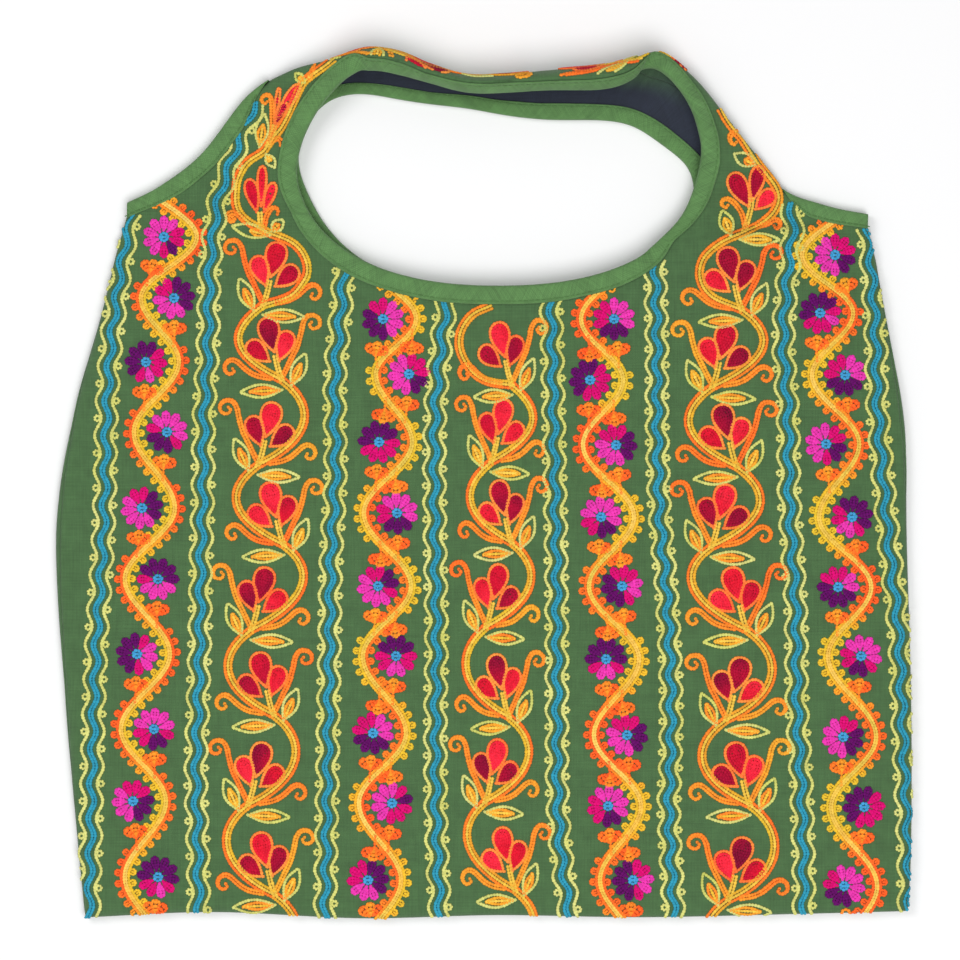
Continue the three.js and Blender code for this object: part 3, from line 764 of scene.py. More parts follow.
def thread_material(name):
    """Soft cotton thread: each row's own dye, lighter and darker from loop to loop."""
    material = bpy.data.materials.new(name)
    material.use_nodes = True
    tree = material.node_tree
    shader = tree.nodes["Principled BSDF"]
    dye = tree.nodes.new("ShaderNodeAttribute")
    dye.attribute_name = "thread_colour"
    tone = tree.nodes.new("ShaderNodeAttribute")
    tone.attribute_name = "tone"
    place = tree.nodes.new("ShaderNodeTexCoord")
    fibre = tree.nodes.new("ShaderNodeTexNoise")
    fibre.inputs["Scale"].default_value = 2600.0
    fibre.inputs["Detail"].default_value = 2.0
    light = math_node(tree, "MULTIPLY_ADD", tone.outputs["Fac"], 0.22, 0.74)
    light = math_node(tree, "MULTIPLY_ADD", fibre.outputs["Fac"], 0.3, light)
    dyed = tree.nodes.new("ShaderNodeMix")
    dyed.data_type = "RGBA"
    dyed.blend_type = "MULTIPLY"
    dyed.inputs["Factor"].default_value = 1.0
    relief = tree.nodes.new("ShaderNodeBump")
    relief.inputs["Strength"].default_value = 0.35
    relief.inputs["Distance"].default_value = 0.0002
    wire(tree, [
        (place.outputs["Object"], fibre.inputs["Vector"]),
        (dye.outputs["Color"], dyed.inputs["A"]),
        (light, dyed.inputs["B"]),
        (dyed.outputs["Result"], shader.inputs["Base Color"]),
        (fibre.outputs["Fac"], relief.inputs["Height"]),
        (relief.outputs["Normal"], shader.inputs["Normal"]),
    ])
    shader.inputs["Roughness"].default_value = 0.7
    shader.inputs["Specular IOR Level"].default_value = 0.15
    shader.inputs["Sheen Weight"].default_value = 0.04
    return material


link = one_stitch("chain_link", CHAIN_LINK, (0.1, 0.0, 0.27))
chain_stitch = stitch_tree()
stitch_inputs = {item.name: item.identifier for item in chain_stitch.interface.items_tree
                 if item.in_out == "INPUT"}


def no_rows():
    return {"points": [], "normals": [], "colours": [], "widths": [], "edges": []}


def sew(name, rows, length, seed, stitch=link):
    """Work all the drawn rows of one piece of embroidery."""
    mesh = bpy.data.meshes.new(name)
    mesh.from_pydata([tuple(point) for point in rows["points"]], rows["edges"], [])
    mesh.attributes.new("cloth_normal", "FLOAT_VECTOR", "POINT").data.foreach_set(
        "vector", np.ravel(rows["normals"]))
    mesh.attributes.new("thread_colour", "FLOAT_COLOR", "POINT").data.foreach_set(
        "color", np.ravel(rows["colours"]))
    mesh.attributes.new("row_width", "FLOAT", "POINT").data.foreach_set(
        "value", np.array(rows["widths"]) * MM)
    drawn = new_piece(name, mesh)
    modifier = drawn.modifiers.new("stitches", "NODES")
    modifier.node_group = chain_stitch
    sizes = {"Stitch Length": length * MM, "Seed": seed, "Loop": stitch, "Thread": thread_material(name)}
    for label, value in sizes.items():
        modifier[stitch_inputs[label]] = value
    graph = bpy.context.evaluated_depsgraph_get()
    worked = bpy.data.meshes.new_from_object(drawn.evaluated_get(graph))
    drawn.modifiers.remove(modifier)
    drawn.data = worked
    drawn.data.name = name
    bpy.data.meshes.remove(mesh)
    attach(drawn, "root")


wall_points, wall_faces = [], []
for target in [front_cloth, back_cloth] + binding_pieces:
    first = len(wall_points)
    wall_points += [vertex.co.copy() for vertex in target.data.vertices]
    wall_faces += [[first + k for k in face.vertices] for face in target.data.polygons]
walls = BVHTree.FromPolygons(wall_points, wall_faces)
eye_point = Vector(eye * MM)


def on_body(path):
    """Places on the cloth under picture points, with none where something else is on top."""
    places = []
    for x, y in path:
        aim = Vector(((x - ORIGIN_PIXEL[0]) * MM_PER_PIXEL * MM,
                      (ORIGIN_PIXEL[1] - y) * MM_PER_PIXEL * MM, 0))
        spot, upright, face, _ = walls.ray_cast(eye_point, aim - eye_point)
        places.append((spot, upright) if spot and face < front_faces else None)
    return places


strap_normal = panels["front"]["normal"]
strap_outer = panels["front"]["middle"] + strap_normal * CLOTH / 2
strap_lengths = panels["front"]["lengths"]
strap_middle = strap_outer[:, len(BOUND_RINGS) + FACE_RINGS["front"] // 2]
strap_run = np.concatenate([[0], np.cumsum(np.linalg.norm(np.diff(strap_middle, axis=0), axis=1))])


def on_strap(path):
    """Places at (length along the strap, length from the neck edge), in picture points."""
    places = []
    for run, depth in np.asarray(path) * MM_PER_PIXEL:
        station = np.interp(run, strap_run, np.arange(section_count))
        low = int(station)
        part = station - low
        high = min(low + 1, section_count - 1)
        on_the_strap = STRAP_SPAN[0] * STEPS <= station < STRAP_SPAN[1] * STEPS
        last = strap_lengths[low, -1] - STRAP_SEAM_ROOM
        if not on_the_strap or not BOUND_LENGTH + STRAP_STRIP_ROOM < depth < last:
            places.append(None)
            continue
        spot, upright = np.zeros(3), np.zeros(3)
        for row, weight in ((low, 1 - part), (high, part)):
            for k in range(3):
                spot[k] += weight * np.interp(depth, strap_lengths[row], strap_outer[row, :, k])
                upright[k] += weight * np.interp(depth, strap_lengths[row], strap_normal[row, :, k])
        places.append((Vector(spot * MM), Vector(upright).normalized()))
    return places


def even(path, step):
    """Evenly spaced points along a drawn line."""
    path = np.asarray(path, float)
    run = np.concatenate([[0], np.cumsum(np.hypot(*np.diff(path, axis=0).T))])
    marks = np.linspace(0, run[-1], max(2, int(round(run[-1] / step)) + 1))
    return np.stack([np.interp(marks, run, path[:, 0]), np.interp(marks, run, path[:, 1])], 1)


def smooth(points, steps=10):
    """A soft curve through the given points."""
    points = np.asarray(points, float)
    padded = np.concatenate([[2 * points[0] - points[1]], points, [2 * points[-1] - points[-2]]])
    share = np.linspace(0, 1, steps, endpoint=False)[:, None]
    pieces = []
    for a, b, c, d in zip(padded, padded[1:], padded[2:], padded[3:]):
        pieces.append(0.5 * (2 * b + (c - a) * share + (2 * a - 5 * b + 4 * c - d) * share ** 2
                             + (3 * b - a - 3 * c + d) * share ** 3))
    return np.concatenate(pieces + [points[-1:]])


def beside(path, distance):
    """The line kept at a distance to the right of one that runs down the picture."""
    slope = np.gradient(path, axis=0)
    slope /= np.linalg.norm(slope, axis=1, keepdims=True)
    return path + np.stack([slope[:, 1], -slope[:, 0]], 1) * np.reshape(distance, (-1, 1))


def ring(x, y, radius):
    angle = np.linspace(0, 2 * math.pi, RING_POINTS)
    return np.stack([x + radius * np.cos(angle), y + radius * np.sin(angle)], 1)


def draw(rows, path, dyes, width, patch=DYE_PATCH, place=on_body, turn=None, lean=None):
    """Put one drawn row on the cloth; more than one dye changes softly along the thread."""
    path = np.asarray(path, float)
    if turn:
        path = turn(path)
    path = even(path, PATH_STEP)
    dyes = np.array([linear(*dye) for dye in dyes])
    places = place(path)
    kept = [spot is not None for spot in places]
    before = None
    for k, spot in enumerate(places):
        around = kept[max(0, k - LEAST_RUN):k + LEAST_RUN + 1]
        if spot is None or sum(around) < min(LEAST_RUN + 1, len(places)):
            before = None
            continue
        share = noise.noise((path[k, 0] / patch, path[k, 1] / patch, DYE_SEED))
        share = 0.5 + (DYE_SWING * share if lean is None else LEANING_SWING * share + lean(*path[k]))
        share = min(max(share, 0), 1) * (len(dyes) - 1)
        low = min(int(share), len(dyes) - 1)
        high = min(low + 1, len(dyes) - 1)
        here = len(rows["points"])
        rows["points"].append(spot[0] + spot[1] * THREAD_LIFT * MM)
        rows["normals"].append(spot[1])
        rows["widths"].append(width)
        rows["colours"].append(dyes[low] + (dyes[high] - dyes[low]) * (share - low))
        if before is not None:
            rows["edges"].append((before, here))
        before = here


# Top-stitching: one green cotton thread sewn by machine along the outer edge of each binding, through
# all its layers, in plain stitches that sink a little into the strip.
TOP_STITCH = ((0.38, 0.30, 0.42), (0.0, 0.50, 0.52), (-0.38, 0.30, 0.42),
              (-0.38, -0.30, 0.42), (0.0, -0.50, 0.52), (0.38, -0.30, 0.42))
TOP_STITCH_PITCH, TOP_STITCH_WIDTH = 2.8, 0.62
TOP_STITCH_GREEN = linear(84, 122, 70)
bar = one_stitch("top_stitch", TOP_STITCH, (0.0, 0.0, 0.56))
top_rows = no_rows()
for places, up, closed in strip_runs:
    first = len(top_rows["points"])
    count = len(places)
    stitches = count if closed else count - 1
    top_rows["points"] += [Vector(place * MM) for place in places]
    top_rows["normals"] += [Vector(way) for way in up]
    top_rows["widths"] += [TOP_STITCH_WIDTH] * count
    top_rows["colours"] += [TOP_STITCH_GREEN] * count
    top_rows["edges"] += [(first + k, first + (k + 1) % count) for k in range(stitches)]
sew("binding_top_stitching", top_rows, TOP_STITCH_PITCH, 41, bar)
bpy.data.objects.remove(bar)

# Wave lines: eight upright bands, each a turquoise wave of two rows between two pale yellow-green
# lines that echo it and carry a small curl in every hollow.
TURQUOISE = ((48, 153, 180),)
PALE = ((206, 206, 110), (218, 218, 134))
WAVE_HEIGHT, WAVE_ROW, PALE_AWAY, PALE_ECHO, PALE_ROW = 3.0, 1.55, 8.2, 1.0, 1.9
CURL, CURL_AWAY, CURL_ROW, CURL_STITCH = 2.7, 3.9, 1.65, 1.0
# Each band's middle line in picture points, the height of one of its crests and the length of a wave.
WAVE_LINES = (
    {"crest": 453.0, "period": 34.8, "points": (
        (130, 215), (120, 274), (111, 346), (106.5, 418), (105, 490), (102, 562), (97, 634), (94, 706),
        (92, 778), (91, 832), (89, 917))},
    {"crest": 431.6, "period": 35.4, "points": (
        (256, 103), (240, 135), (234, 156), (224.5, 180), (217, 208), (213, 238), (209.5, 274), (208, 346),
        (204, 418), (203, 490), (201, 562), (200, 634), (198, 706), (196, 778), (198, 850), (199, 917))},
    {"crest": 441.8, "period": 34.2, "points": (
        (345, 262), (341, 310), (335, 382), (335.5, 472), (331, 562), (329.5, 652), (328, 742),
        (326.5, 832), (325, 917))},
    {"crest": 452.0, "period": 33.7, "points": (
        (448, 290), (441, 346), (435, 418), (435, 526), (436.5, 634), (435.5, 724), (436, 814), (440, 917))},
    {"crest": 461.0, "period": 33.2, "points": (
        (551, 300), (553, 382), (555, 490), (556.5, 580), (557, 706), (557.5, 796), (562, 860), (570, 917))},
    {"crest": 473.3, "period": 31.0, "points": (
        (655, 262), (657, 346), (657, 418), (659.5, 508), (667, 598), (671, 688), (670.5, 760), (669, 814),
        (674, 917))},
    {"crest": 473.0, "period": 34.6, "points": (
        (790, 204), (793, 228), (786, 292), (783.5, 346), (788, 418), (789, 490), (793, 562), (796, 616),
        (797, 706), (801, 778), (803.5, 860), (804, 917))},
    {"crest": 493.0, "period": 35.5, "points": (
        (868, 230), (872, 274), (876, 346), (877, 400), (884, 490), (891, 562), (899, 634), (902, 706),
        (905, 778), (908, 840), (909, 912))},
)
blue_rows, pale_rows, curl_rows = no_rows(), no_rows(), no_rows()
for band in WAVE_LINES:
    crest, period = band["crest"], band["period"]
    line = even(smooth(band["points"]), LINE_STEP)
    wave = WAVE_HEIGHT * np.cos(2 * math.pi * (line[:, 1] - crest) / period)
    for offset in (-WAVE_ROW, WAVE_ROW):
        draw(blue_rows, beside(line, wave + offset), TURQUOISE, FINE_ROW)
    for way in (-1, 1):
        pale = beside(line, way * PALE_AWAY + PALE_ECHO * wave)
        draw(pale_rows, pale, PALE, PALE_ROW)
        hollow = crest if way < 0 else crest + period / 2
        first = math.ceil((line[0, 1] - hollow) / period)
        last = math.floor((line[-1, 1] - hollow) / period)
        for turn in range(first, last + 1):
            y = hollow + turn * period
            x = np.interp(y, pale[:, 1], pale[:, 0])
            draw(curl_rows, ring(x + way * CURL_AWAY, y, CURL), PALE, CURL_ROW)
sew("turquoise_waves", blue_rows, STITCH_LENGTH, 11)
sew("pale_wave_lines", pale_rows, STITCH_LENGTH, 12)
sew("pale_curls", curl_rows, CURL_STITCH, 13)

# Purple vines: four winding gold stems edged with orange and gold scallops, with orange buds where
# the stem crosses over and a round flower of ten purple and pink petals in every bend.
GOLD_STEM = ((242, 204, 100), (240, 190, 76), (228, 198, 84))
EDGE_DYES = ((252, 100, 38), (252, 120, 40), (248, 160, 42), (236, 186, 46), (230, 192, 50))
BUD_DYES = ((252, 96, 36), (252, 112, 38), (250, 140, 40), (244, 172, 44))
PINK, MAGENTA, PURPLE, FLOWER_BLUE = (230, 56, 174), (216, 0, 114), (98, 0, 98), (66, 156, 206)
STEM_AWAY, STEM_ROW, STEM_THREAD, EDGE_ROW = 33.0, 1.15, 1.55, 3.7
SCALLOP_FIRST, SCALLOP_PITCH, SCALLOP_AWAY = 4, 11, 7.2
SCALLOP, SCALLOP_TURN, SCALLOP_FILLING, SCALLOP_ROW, SCALLOP_STITCH = 2.8, 2.1, 0.4, 1.35, 1.1
PETALS, PETAL_START, PETAL_END, PETAL_WIDE, PETAL_TURN = 10, 4.5, 21.6, 9.6, 0.3
EYE_RING, EYE_FILLING = 3.8, 1.2
BUD_DROP, SECOND_BUD_DROP, BUD_AWAY, BUD_STALK = 37.0, 33.0, 10.0, 11.0
BUD_LONG, BUD_WIDE, BUD_ROOM = 15.5, 11.0, 13.0
BUD_LOBES = ((-0.8, -0.05), (0.8, -0.35), (0.0, 0.25))
BEND_REACH = 18.0
ROW_INSET, FILLING_FROM, FILLING_TO, FILLING_ROOM = 1.6, 0.3, 3.0, 5.2
OUTLINE_POINTS, DROP_BASE_INSET = 25, 1.7
# Each flower: its place in picture points, its side of the stem, then the hour of the clock and the count of
# its purple petals, and the same for its pink ones. The tones say which edges turn gold and which orange.
PURPLE_VINES = (
    {
        "second_buds": False, "bend_tone": 0.0, "outer_tone": -0.45,
        "flowers": (
            (164, 237, -1, 4.5, 1, 10.5, 6), (174, 298, 1, 2.5, 4, 6.5, 4), (146, 362, -1, 10, 5, 6, 1),
            (167, 432, 1, 6.5, 3, 1.5, 5), (142, 508, -1, 2.5, 3, 7.5, 5), (158, 579, 1, 1, 5, 6, 3),
            (137, 654, -1, 9, 5, 3, 3), (154, 729, 1, 5, 2, 12, 5), (133, 801, -1, 3.5, 3, 8, 5),
            (158, 877, 1, 12, 6, 5.5, 1),
        ),
    },
    {
        "second_buds": True, "bend_tone": 0.0, "outer_tone": 0.35,
        "flowers": (
            (383, 319, -1, 7.5, 4, 2.5, 4), (409, 374, 1, 4, 2, 9, 5), (379, 442, -1, 11, 5, 5, 0),
            (397, 513, 1, 5.5, 3, 1.5, 5), (378, 586, -1, 2, 2, 7, 5), (396, 656, 1, 12, 5, 5.5, 2),
            (373, 733, -1, 6.5, 4, 2.5, 3), (392, 803, 1, 3, 1, 10, 5), (368, 880, -1, 2, 4, 6, 3),
        ),
    },
    {
        "second_buds": True, "bend_tone": 0.4, "outer_tone": 0.0,
        "flowers": (
            (614, 319, 1, 6, 3, 2, 5), (590, 380, -1, 10.5, 5, 5, 0), (616, 445, 1, 3, 3, 7.5, 4),
            (601, 517, -1, 5.5, 2, 12, 6), (622, 586, 1, 8, 4, 3, 2), (606, 659, -1, 12, 6, 6, 2),
            (627, 735, 1, 3, 3, 8, 4), (608, 806, -1, 6, 2, 1.5, 5), (633, 880, 1, 9, 5, 3.5, 2),
        ),
    },
    {
        "second_buds": False, "bend_tone": -0.45, "outer_tone": 0.0,
        "flowers": (
            (835, 255, 1, 4, 2, 8, 5), (820, 313, -1, 11.5, 5, 4.5, 1), (845, 375, 1, 6, 4, 1.5, 3),
            (826, 444, -1, 3.5, 2, 9, 5), (852, 517, 1, 2, 5, 6.5, 2), (838, 587, -1, 7, 5, 2.5, 2),
            (861, 656, 1, 6, 2, 1, 5), (843, 737, -1, 3.5, 3, 8.5, 5), (864, 807, 1, 10.5, 5, 4, 0),
            (844, 886, -1, 6.5, 3, 2, 5),
        ),
    },
)


def drop(base, tip, width, inset):
    """A drop-shaped outline from its pointed base round its tip, drawn inside its outer edge."""
    base, tip = np.asarray(base, float), np.asarray(tip, float)
    way = (tip - base) / np.linalg.norm(tip - base)
    base, tip = base + way * inset * DROP_BASE_INSET, tip - way * inset
    turn = np.linspace(0, 2 * math.pi, OUTLINE_POINTS)[:, None]
    side = np.sin(turn) * np.sin(turn / 2)
    side *= (width / 2 - inset) / side.max()
    return base + (tip - base) * (1 - np.cos(turn)) / 2 + side * np.array([-way[1], way[0]])


def lobe(rows, x, y, angle, start, end, width, dyes, lean=None):
    """A small filled petal pointing away from (x, y)."""
    way = np.array([math.cos(angle), math.sin(angle)])
    middle = np.array([x, y])
    outline = drop(middle + way * start, middle + way * end, width, ROW_INSET)
    draw(rows, outline, dyes, FINE_ROW, lean=lean)
    filling_start = start * (1 - FILLING_FROM) + end * FILLING_FROM
    filling = [middle + way * filling_start, middle + way * (end - FILLING_TO)]
    draw(rows, filling, dyes, (width - FILLING_ROOM) * MM_PER_PIXEL, lean=lean)


def petal_dye(hour, purple, purples, pink, pinks):
    """The dye of the petal at an hour of the clock, given where the flower's dark and light sides lie."""
    for middle, count, dye in ((purple, purples, PURPLE), (pink, pinks, PINK)):
        if abs((hour - middle + 6) % 12 - 6) < 6 * count / PETALS:
            return dye
    return MAGENTA


stem_rows, edge_rows, scallop_rows, flower_rows = no_rows(), no_rows(), no_rows(), no_rows()
for vine in PURPLE_VINES:
    flowers = [flower[:3] for flower in vine["flowers"]]
    bends = [(x - side * STEM_AWAY, y) for x, y, side in flowers]
    above = (bends[1][0], 2 * bends[0][1] - bends[1][1])
    below = (bends[-2][0], 2 * bends[-1][1] - bends[-2][1])
    bends = [above] + bends + [below]
    stem = []
    for (x0, y0), (x1, y1) in zip(bends, bends[1:]):
        for y in np.arange(y0, y1):
            swung = 0.5 - 0.5 * math.cos(math.pi * (y - y0) / (y1 - y0))
            stem.append((x0 + (x1 - x0) * swung, y))
    stem = even(stem, LINE_STEP)
    axis_y = [(y0 + y1) / 2 for (_, y0), (_, y1) in zip(bends, bends[1:])]
    axis_x = [(x0 + x1) / 2 for (x0, _), (x1, _) in zip(bends, bends[1:])]
    for offset in (-STEM_ROW, STEM_ROW):
        draw(stem_rows, beside(stem, offset), GOLD_STEM, STEM_THREAD)
    buds = []
    for count, (x, y, side) in enumerate(flowers):
        bud_y = y + BUD_DROP
        bud_x = np.interp(bud_y, stem[:, 1], stem[:, 0]) + side * BUD_AWAY
        buds.append((bud_x, bud_y, side, math.atan2(y - bud_y, x - bud_x)))
        if vine["second_buds"] and count + 1 < len(flowers):
            next_x, next_y, next_side = flowers[count + 1]
            low_y = next_y - SECOND_BUD_DROP
            low_x = np.interp(low_y, stem[:, 1], stem[:, 0]) + next_side * BUD_AWAY
            buds.append((low_x, low_y, next_side, math.atan2(next_y - low_y, next_x - low_x)))
    for way in (-1, 1):
        def edge_tone(x, y):
            bend = (np.interp(y, stem[:, 1], stem[:, 0]) - np.interp(y, axis_y, axis_x)) / BEND_REACH
            return np.clip(bend, -1, 1) * (vine["bend_tone"] + vine["outer_tone"] * way)

        draw(edge_rows, beside(stem, way * EDGE_ROW), EDGE_DYES, FINE_ROW, lean=edge_tone)
        edge = even(beside(stem, way * SCALLOP_AWAY), LINE_STEP)
        slope = np.gradient(edge, axis=0)
        for (x, y), (along, down) in list(zip(edge, slope))[SCALLOP_FIRST::SCALLOP_PITCH]:
            if all(way != side or math.hypot(x - bx, y - by) > BUD_ROOM for bx, by, side, _ in buds):
                outward = math.atan2(-along * way, down * way)
                arch = outward + np.linspace(-SCALLOP_TURN, SCALLOP_TURN, 9)
                arch = np.stack([x + SCALLOP * np.cos(arch), y + SCALLOP * np.sin(arch)], 1)
                filling_end = arch[4] * SCALLOP_FILLING + np.array([x, y]) * (1 - SCALLOP_FILLING)
                for path in (arch, [(x, y), filling_end]):
                    draw(scallop_rows, path, EDGE_DYES, SCALLOP_ROW, lean=edge_tone)
    for x, y, _, angle in buds:
        foot_y = y - math.copysign(BUD_STALK, math.sin(angle))
        foot_x = np.interp(foot_y, stem[:, 1], stem[:, 0])
        draw(edge_rows, [(x, y), (foot_x, foot_y)], BUD_DYES, FINE_ROW)
        for turn, tone in BUD_LOBES:
            lobe(edge_rows, x, y, angle + turn, 0, BUD_LONG, BUD_WIDE, BUD_DYES, lambda *_: tone)
    for count, (x, y, _, *sides) in enumerate(vine["flowers"]):
        for k in range(PETALS):
            hour = 12 * (k + PETAL_TURN * count) / PETALS
            angle = 2 * math.pi * (hour - 3) / 12
            lobe(flower_rows, x, y, angle, PETAL_START, PETAL_END, PETAL_WIDE, (petal_dye(hour, *sides),))
        for path in (ring(x, y, EYE_RING), [(x - EYE_FILLING, y), (x + EYE_FILLING, y)]):
            draw(flower_rows, path, (FLOWER_BLUE,), FINE_ROW)
sew("purple_vine_stems", stem_rows, STITCH_LENGTH, 21)
sew("purple_vine_edges", edge_rows, STITCH_LENGTH, 22)
sew("purple_flowers", flower_rows, STITCH_LENGTH, 23)
sew("purple_vine_scallops", scallop_rows, SCALLOP_STITCH, 24)

# Red vines: three winding stems of three rows in orange and gold, with tendrils, pale-edged leaves
# and a red flower of three drop-shaped petals in every bend. Two of them climb on over the strap.
STEM_DYES = (
    ((252, 114, 38), (248, 140, 42)),
    ((238, 196, 78), (228, 188, 66)),
    ((226, 186, 50), (236, 150, 44)),
)
STEM_OFFSETS = (3.2, 0.0, -3.2)
STALK_OFFSETS, TENDRIL_OFFSETS, TENDRIL_TAPER = (-1.6, 1.6), (-1.5, 1.5), 2.2
STEM_PATCH, TENDRIL_PATCH, CORE_PATCH, OUTLINE_PATCH, PETAL_PATCH = 90, 80, 50, 70, 30
CORE_START, CORE_INSET, CORE_FILL_FROM, CORE_FILL_TO = 3, 1.2, 4, 3
PETAL_ROW_FIRST, PETAL_ROW_LAST, PETAL_ROW_STEP = 4.4, 0.8, 2.7
PETAL_MIDDLE, PETAL_MIDDLE_HALF = 0.64, 0.2
LEAF_END_INSET = 1.5
TENDRIL_DYES = ((252, 116, 40), (240, 168, 48))
OUTLINE_DYES = ((252, 112, 54), (248, 152, 66))
BRIGHT, CRIMSON, MAROON, ROSE = (222, 18, 46), (190, 4, 50), (132, 0, 48), (244, 42, 66)
PETAL_TONES = ((BRIGHT, CRIMSON), (CRIMSON, MAROON), (ROSE, BRIGHT), (BRIGHT, ROSE), (MAROON, CRIMSON))
LEAF_EDGE = ((212, 212, 130), (200, 204, 100))
CORE_EDGE, CORE_FILL = ((250, 132, 42), (238, 176, 46)), ((232, 186, 52), (244, 202, 84))
# Petals are base, tip and width; leaves also have the length and width of their filled core.
BEND = {
    "stalk": ((0, 0), (3, -8), (5, -15), (7, -24)),
    "petals": (((8, -26), (17, -64), 25), ((4, -17), (-8, -50), 22), ((11, -17), (37, -38), 22)),
    "leaves": (((-9, 7), (-26, -29), 18, 25, 9.4), ((-2, 10), (46, 12), 16, 34, 9)),
    "tendrils": (
        ((-2, -6), (-10, -22), (-16, -34), (-20, -48), (-22, -57), (-27, -64), (-35, -64), (-39.5, -59),
         (-38, -53), (-32, -51.5), (-28.5, -55), (-31, -58)),
        ((13, -2), (25, -4), (34, -8), (41, -13.5), (47, -18.5), (53, -20), (58.5, -16.5), (59.5, -10.5),
         (55, -6), (50, -8), (51.5, -11.5)),
    ),
}
STRAP_BENDS = (
    {
        "stem": ((333, 60), (325, 66), (312.5, 74.5), (304, 82), (299.5, 89.5), (293.5, 103), (288, 115.5),
                 (281, 128), (274, 136.8), (267.5, 145.7), (262.5, 152), (250, 160), (242.9, 168),
                 (237.5, 179.5), (235.7, 190), (235.7, 203.6), (240, 214), (250, 223), (262.5, 229.5),
                 (269, 233)),
        "stalk": ((268, 146), (272, 136), (275, 126)),
        "petals": (((275, 122), (300.5, 83.2), 14), ((274.5, 128), (286.5, 101), 13),
                   ((274, 126), (279.5, 86), 7)),
        "leaves": (((259.5, 149.3), (264.8, 111.3), 16, 24, 10), ((264.8, 152.9), (276.4, 169), 12, 9, 8),
                   ((306.8, 84), (293.4, 72), 11, 9, 7)),
        "tendrils": (
            ((270, 140), (272.5, 128), (272.4, 115.4), (272, 102.9), (269.3, 95.5), (263.9, 95.7),
             (261.3, 100.2), (264.8, 103.8), (267.5, 101.5)),
            ((270, 143), (277.5, 138.6), (281.5, 142), (281.5, 149.3), (279, 153), (277, 150)),
            ((309, 79), (312, 71), (315, 65)),
        ),
    },
    {
        "stem": ((269, 233), (289, 241), (300, 250), (306, 261.6), (307, 272.3), (302.7, 282), (290, 296),
                 (263, 305)),
        "stalk": ((262, 231), (260.5, 222), (260, 213)),
        "petals": (((261.2, 208), (262.6, 164.5), 12), ((257.5, 214), (248.5, 178), 16),
                   ((263.5, 214), (274.5, 181.5), 13)),
        "leaves": (((270, 233), (285, 218), 14, 11, 9), ((272, 236), (229.5, 225.5), 16, 22, 9.4)),
        "tendrils": (
            ((264, 228), (266, 218), (269.5, 211), (274, 207.5), (278, 210), (277.5, 214.5)),
            ((243, 219), (238, 215), (233, 212.5), (228.5, 214.5), (228.5, 219.5), (232.5, 221.5),
             (235, 218.5), (232.5, 217)),
        ),
    },
    {
        "stem": ((720.9, 110), (727, 120.5), (734.5, 130.6), (741.5, 138.8), (748.5, 149.5), (757.5, 163),
                 (766, 173.8), (774.5, 185.1), (778.5, 195), (777.8, 203.8), (771.7, 214.4), (759.3, 224.5),
                 (744.1, 232), (720, 243), (703, 259), (700, 279), (712, 297), (742, 310)),
        "stalk": ((744, 231), (748, 219), (751, 207), (751.5, 199)),
        "petals": (((751.7, 203), (760.2, 164.5), 18), ((750, 209), (731, 172), 22),
                   ((753.9, 211), (775, 190), 19)),
        "leaves": (((731.6, 237.7), (721, 208), 17, 20, 10), ((738, 239.5), (782, 239.5), 15, 32, 10),
                   ((757, 166), (731.6, 153), 16, 13, 10)),
        "tendrils": (
            ((745, 226), (741.4, 213), (734.3, 203), (728, 199), (722.7, 200), (721.8, 205), (726, 207.5),
             (728, 205)),
            ((757, 227), (767, 224), (774, 220), (779, 221), (780, 226), (776.5, 229), (774, 226)),
            ((743, 139), (736, 132), (730.5, 135), (730, 141), (734, 144.5), (736.5, 142)),
        ),
    },
    {
        "stem": ((490, 306), (473, 314), (462, 328), (459, 344), (464, 360), (475, 374), (490, 382),
                 (512, 385)),
    },
)
# Each vine's flowers, with the side that they face, and how widely the vine swings.
RED_VINES = (
    (((275, 265, 1), (270, 340, -1), (270, 425, 1), (272, 505, -1), (263, 590, 1), (262, 675, -1),
      (260, 765, 1), (263, 855, -1)), 0.96),
    (((500, 345, -1), (503, 422, 1), (500, 503, -1), (498, 587, 1), (497, 677, -1), (497, 762, 1),
      (503, 850, -1)), 0.88),
    (((730, 270, -1), (724, 347, 1), (725, 427, -1), (723, 507, 1), (735, 590, -1), (738, 680, 1),
      (738, 765, -1), (740, 860, 1)), 1.0),
)
NODE_ASIDE, NODE_DROP, LAST_NODE_ASIDE, LAST_NODE_DROP = 12, 40, 24, 84
STRAP_SPREAD, STRAP_BEND_END = 0.45, (14, 80)
# Bends over the strap: length along it and from the neck edge, way of growth and side, in picture points.
OVER_STRAP = ((167, 33, 1, -1), (246, 33, 1, 1), (325, 40, 1, -1), (482, 33, -1, 1), (598, 33, -1, -1))


def pointed(base, tip, width, inset):
    """A leaf outline, pointed at both ends."""
    way = (tip - base) / np.linalg.norm(tip - base)
    base, tip = base + way * inset * LEAF_END_INSET, tip - way * inset * LEAF_END_INSET
    share = np.concatenate([np.linspace(0, 1, 13), np.linspace(1, 0, 13)[1:]])[:, None]
    half = np.where(np.arange(OUTLINE_POINTS)[:, None] < 13, 1, -1) * (width / 2 - inset)
    return base + (tip - base) * share + np.sin(math.pi * share) * half * np.array([-way[1], way[0]])


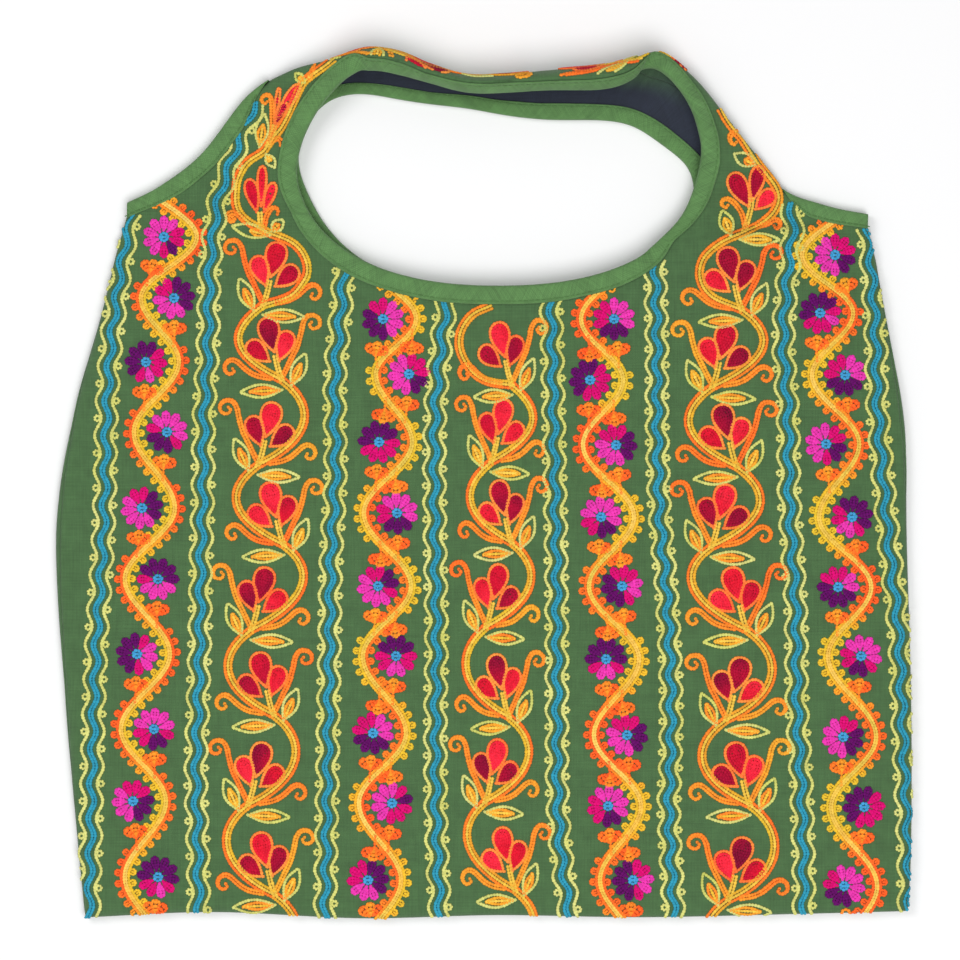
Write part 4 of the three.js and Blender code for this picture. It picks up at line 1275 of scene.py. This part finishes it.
def red_bend(sets, seed, shapes, place=on_body, turn=None):
    """One bend of the vine; turn maps its own pattern to the place on the cloth."""
    stems, tendrils, leaves, petals = sets

    def row(rows, path, dyes, patch=DYE_PATCH):
        draw(rows, path, dyes, FINE_ROW, patch, place, turn)

    if "stem" in shapes:
        stem = even(smooth(shapes["stem"]), LINE_STEP)
        for offset, dyes in zip(STEM_OFFSETS, STEM_DYES):
            row(stems, beside(stem, -offset), dyes, STEM_PATCH)
    if "stalk" in shapes:
        for offset in STALK_OFFSETS:
            row(stems, beside(smooth(shapes["stalk"]), offset), STEM_DYES[1])
    for path in shapes.get("tendrils", ()):
        line = even(smooth(path), LINE_STEP)
        taper = np.clip(np.linspace(TENDRIL_TAPER, 0, len(line)), 0, 1)
        for offset in TENDRIL_OFFSETS:
            row(tendrils, beside(line, offset * taper), TENDRIL_DYES, TENDRIL_PATCH)
    for base, tip, width, core_long, core_wide in shapes.get("leaves", ()):
        base, tip = np.array(base, float), np.array(tip, float)
        row(leaves, pointed(base, tip, width, ROW_INSET), LEAF_EDGE)
        way = (tip - base) / np.linalg.norm(tip - base)
        core_base = base + way * CORE_START
        core_tip = core_base + way * core_long
        row(leaves, pointed(core_base, core_tip, core_wide, CORE_INSET), CORE_EDGE, CORE_PATCH)
        filling = [core_base + way * CORE_FILL_FROM, core_tip - way * CORE_FILL_TO]
        row(leaves, filling, CORE_FILL, CORE_PATCH)
    for k, (base, tip, width) in enumerate(shapes.get("petals", ())):
        base, tip = np.array(base, float), np.array(tip, float)
        row(petals, drop(base, tip, width, ROW_INSET), OUTLINE_DYES, OUTLINE_PATCH)
        tones = PETAL_TONES[(seed + 2 * k) % len(PETAL_TONES)]
        for inset in np.arange(PETAL_ROW_FIRST, width / 2 - PETAL_ROW_LAST, PETAL_ROW_STEP):
            row(petals, drop(base, tip, width, inset), tones, PETAL_PATCH)
        way = (tip - base) / np.linalg.norm(tip - base)
        middle = base + (tip - base) * PETAL_MIDDLE
        half = way * width * PETAL_MIDDLE_HALF
        row(petals, [middle - half, middle + half], tones, PETAL_PATCH)


def bend_stem(end):
    """The winding stem from a flower's foot down to the next one's, in the bend's own pattern."""
    t = np.linspace(0, 1, 12)[:, None]
    return (3 * t * (1 - t) ** 2 * np.array([-37, 26])
            + 3 * t ** 2 * (1 - t) * (end + np.array([-57, -26])) + t ** 3 * end)


vine_sets = no_rows(), no_rows(), no_rows(), no_rows()
for seed, shapes in enumerate(STRAP_BENDS):
    red_bend(vine_sets, seed + 2, shapes)
for vine, (flowers, spread) in enumerate(RED_VINES):
    nodes = [(x - NODE_ASIDE * way, y + NODE_DROP) for x, y, way in flowers]
    nodes.append((nodes[-1][0] + LAST_NODE_ASIDE * flowers[-1][2], nodes[-1][1] + LAST_NODE_DROP))
    for count, (_, _, way) in enumerate(flowers):
        mirror = np.array([way, 1])
        node = np.array(nodes[count])
        shapes = dict(BEND, stem=bend_stem((np.array(nodes[count + 1]) - node) * mirror / (spread, 1)))
        red_bend(vine_sets, count + 2 * vine, shapes, turn=lambda path: path * mirror * (spread, 1) + node)
for seed, (run, depth, grow, way) in enumerate(OVER_STRAP):
    shapes = dict(BEND, stem=bend_stem(np.array(STRAP_BEND_END)))
    node = np.array([run, depth])
    red_bend(vine_sets, seed, shapes, on_strap,
             lambda path: node - grow * np.stack([path[:, 1], path[:, 0] * way * STRAP_SPREAD], 1))
red_pieces = ("red_vine_stems", "red_vine_tendrils", "red_vine_leaves", "red_flowers")
for seed, (name, rows) in enumerate(zip(red_pieces, vine_sets)):
    sew(name, rows, STITCH_LENGTH, 31 + seed)
bpy.data.objects.remove(link)
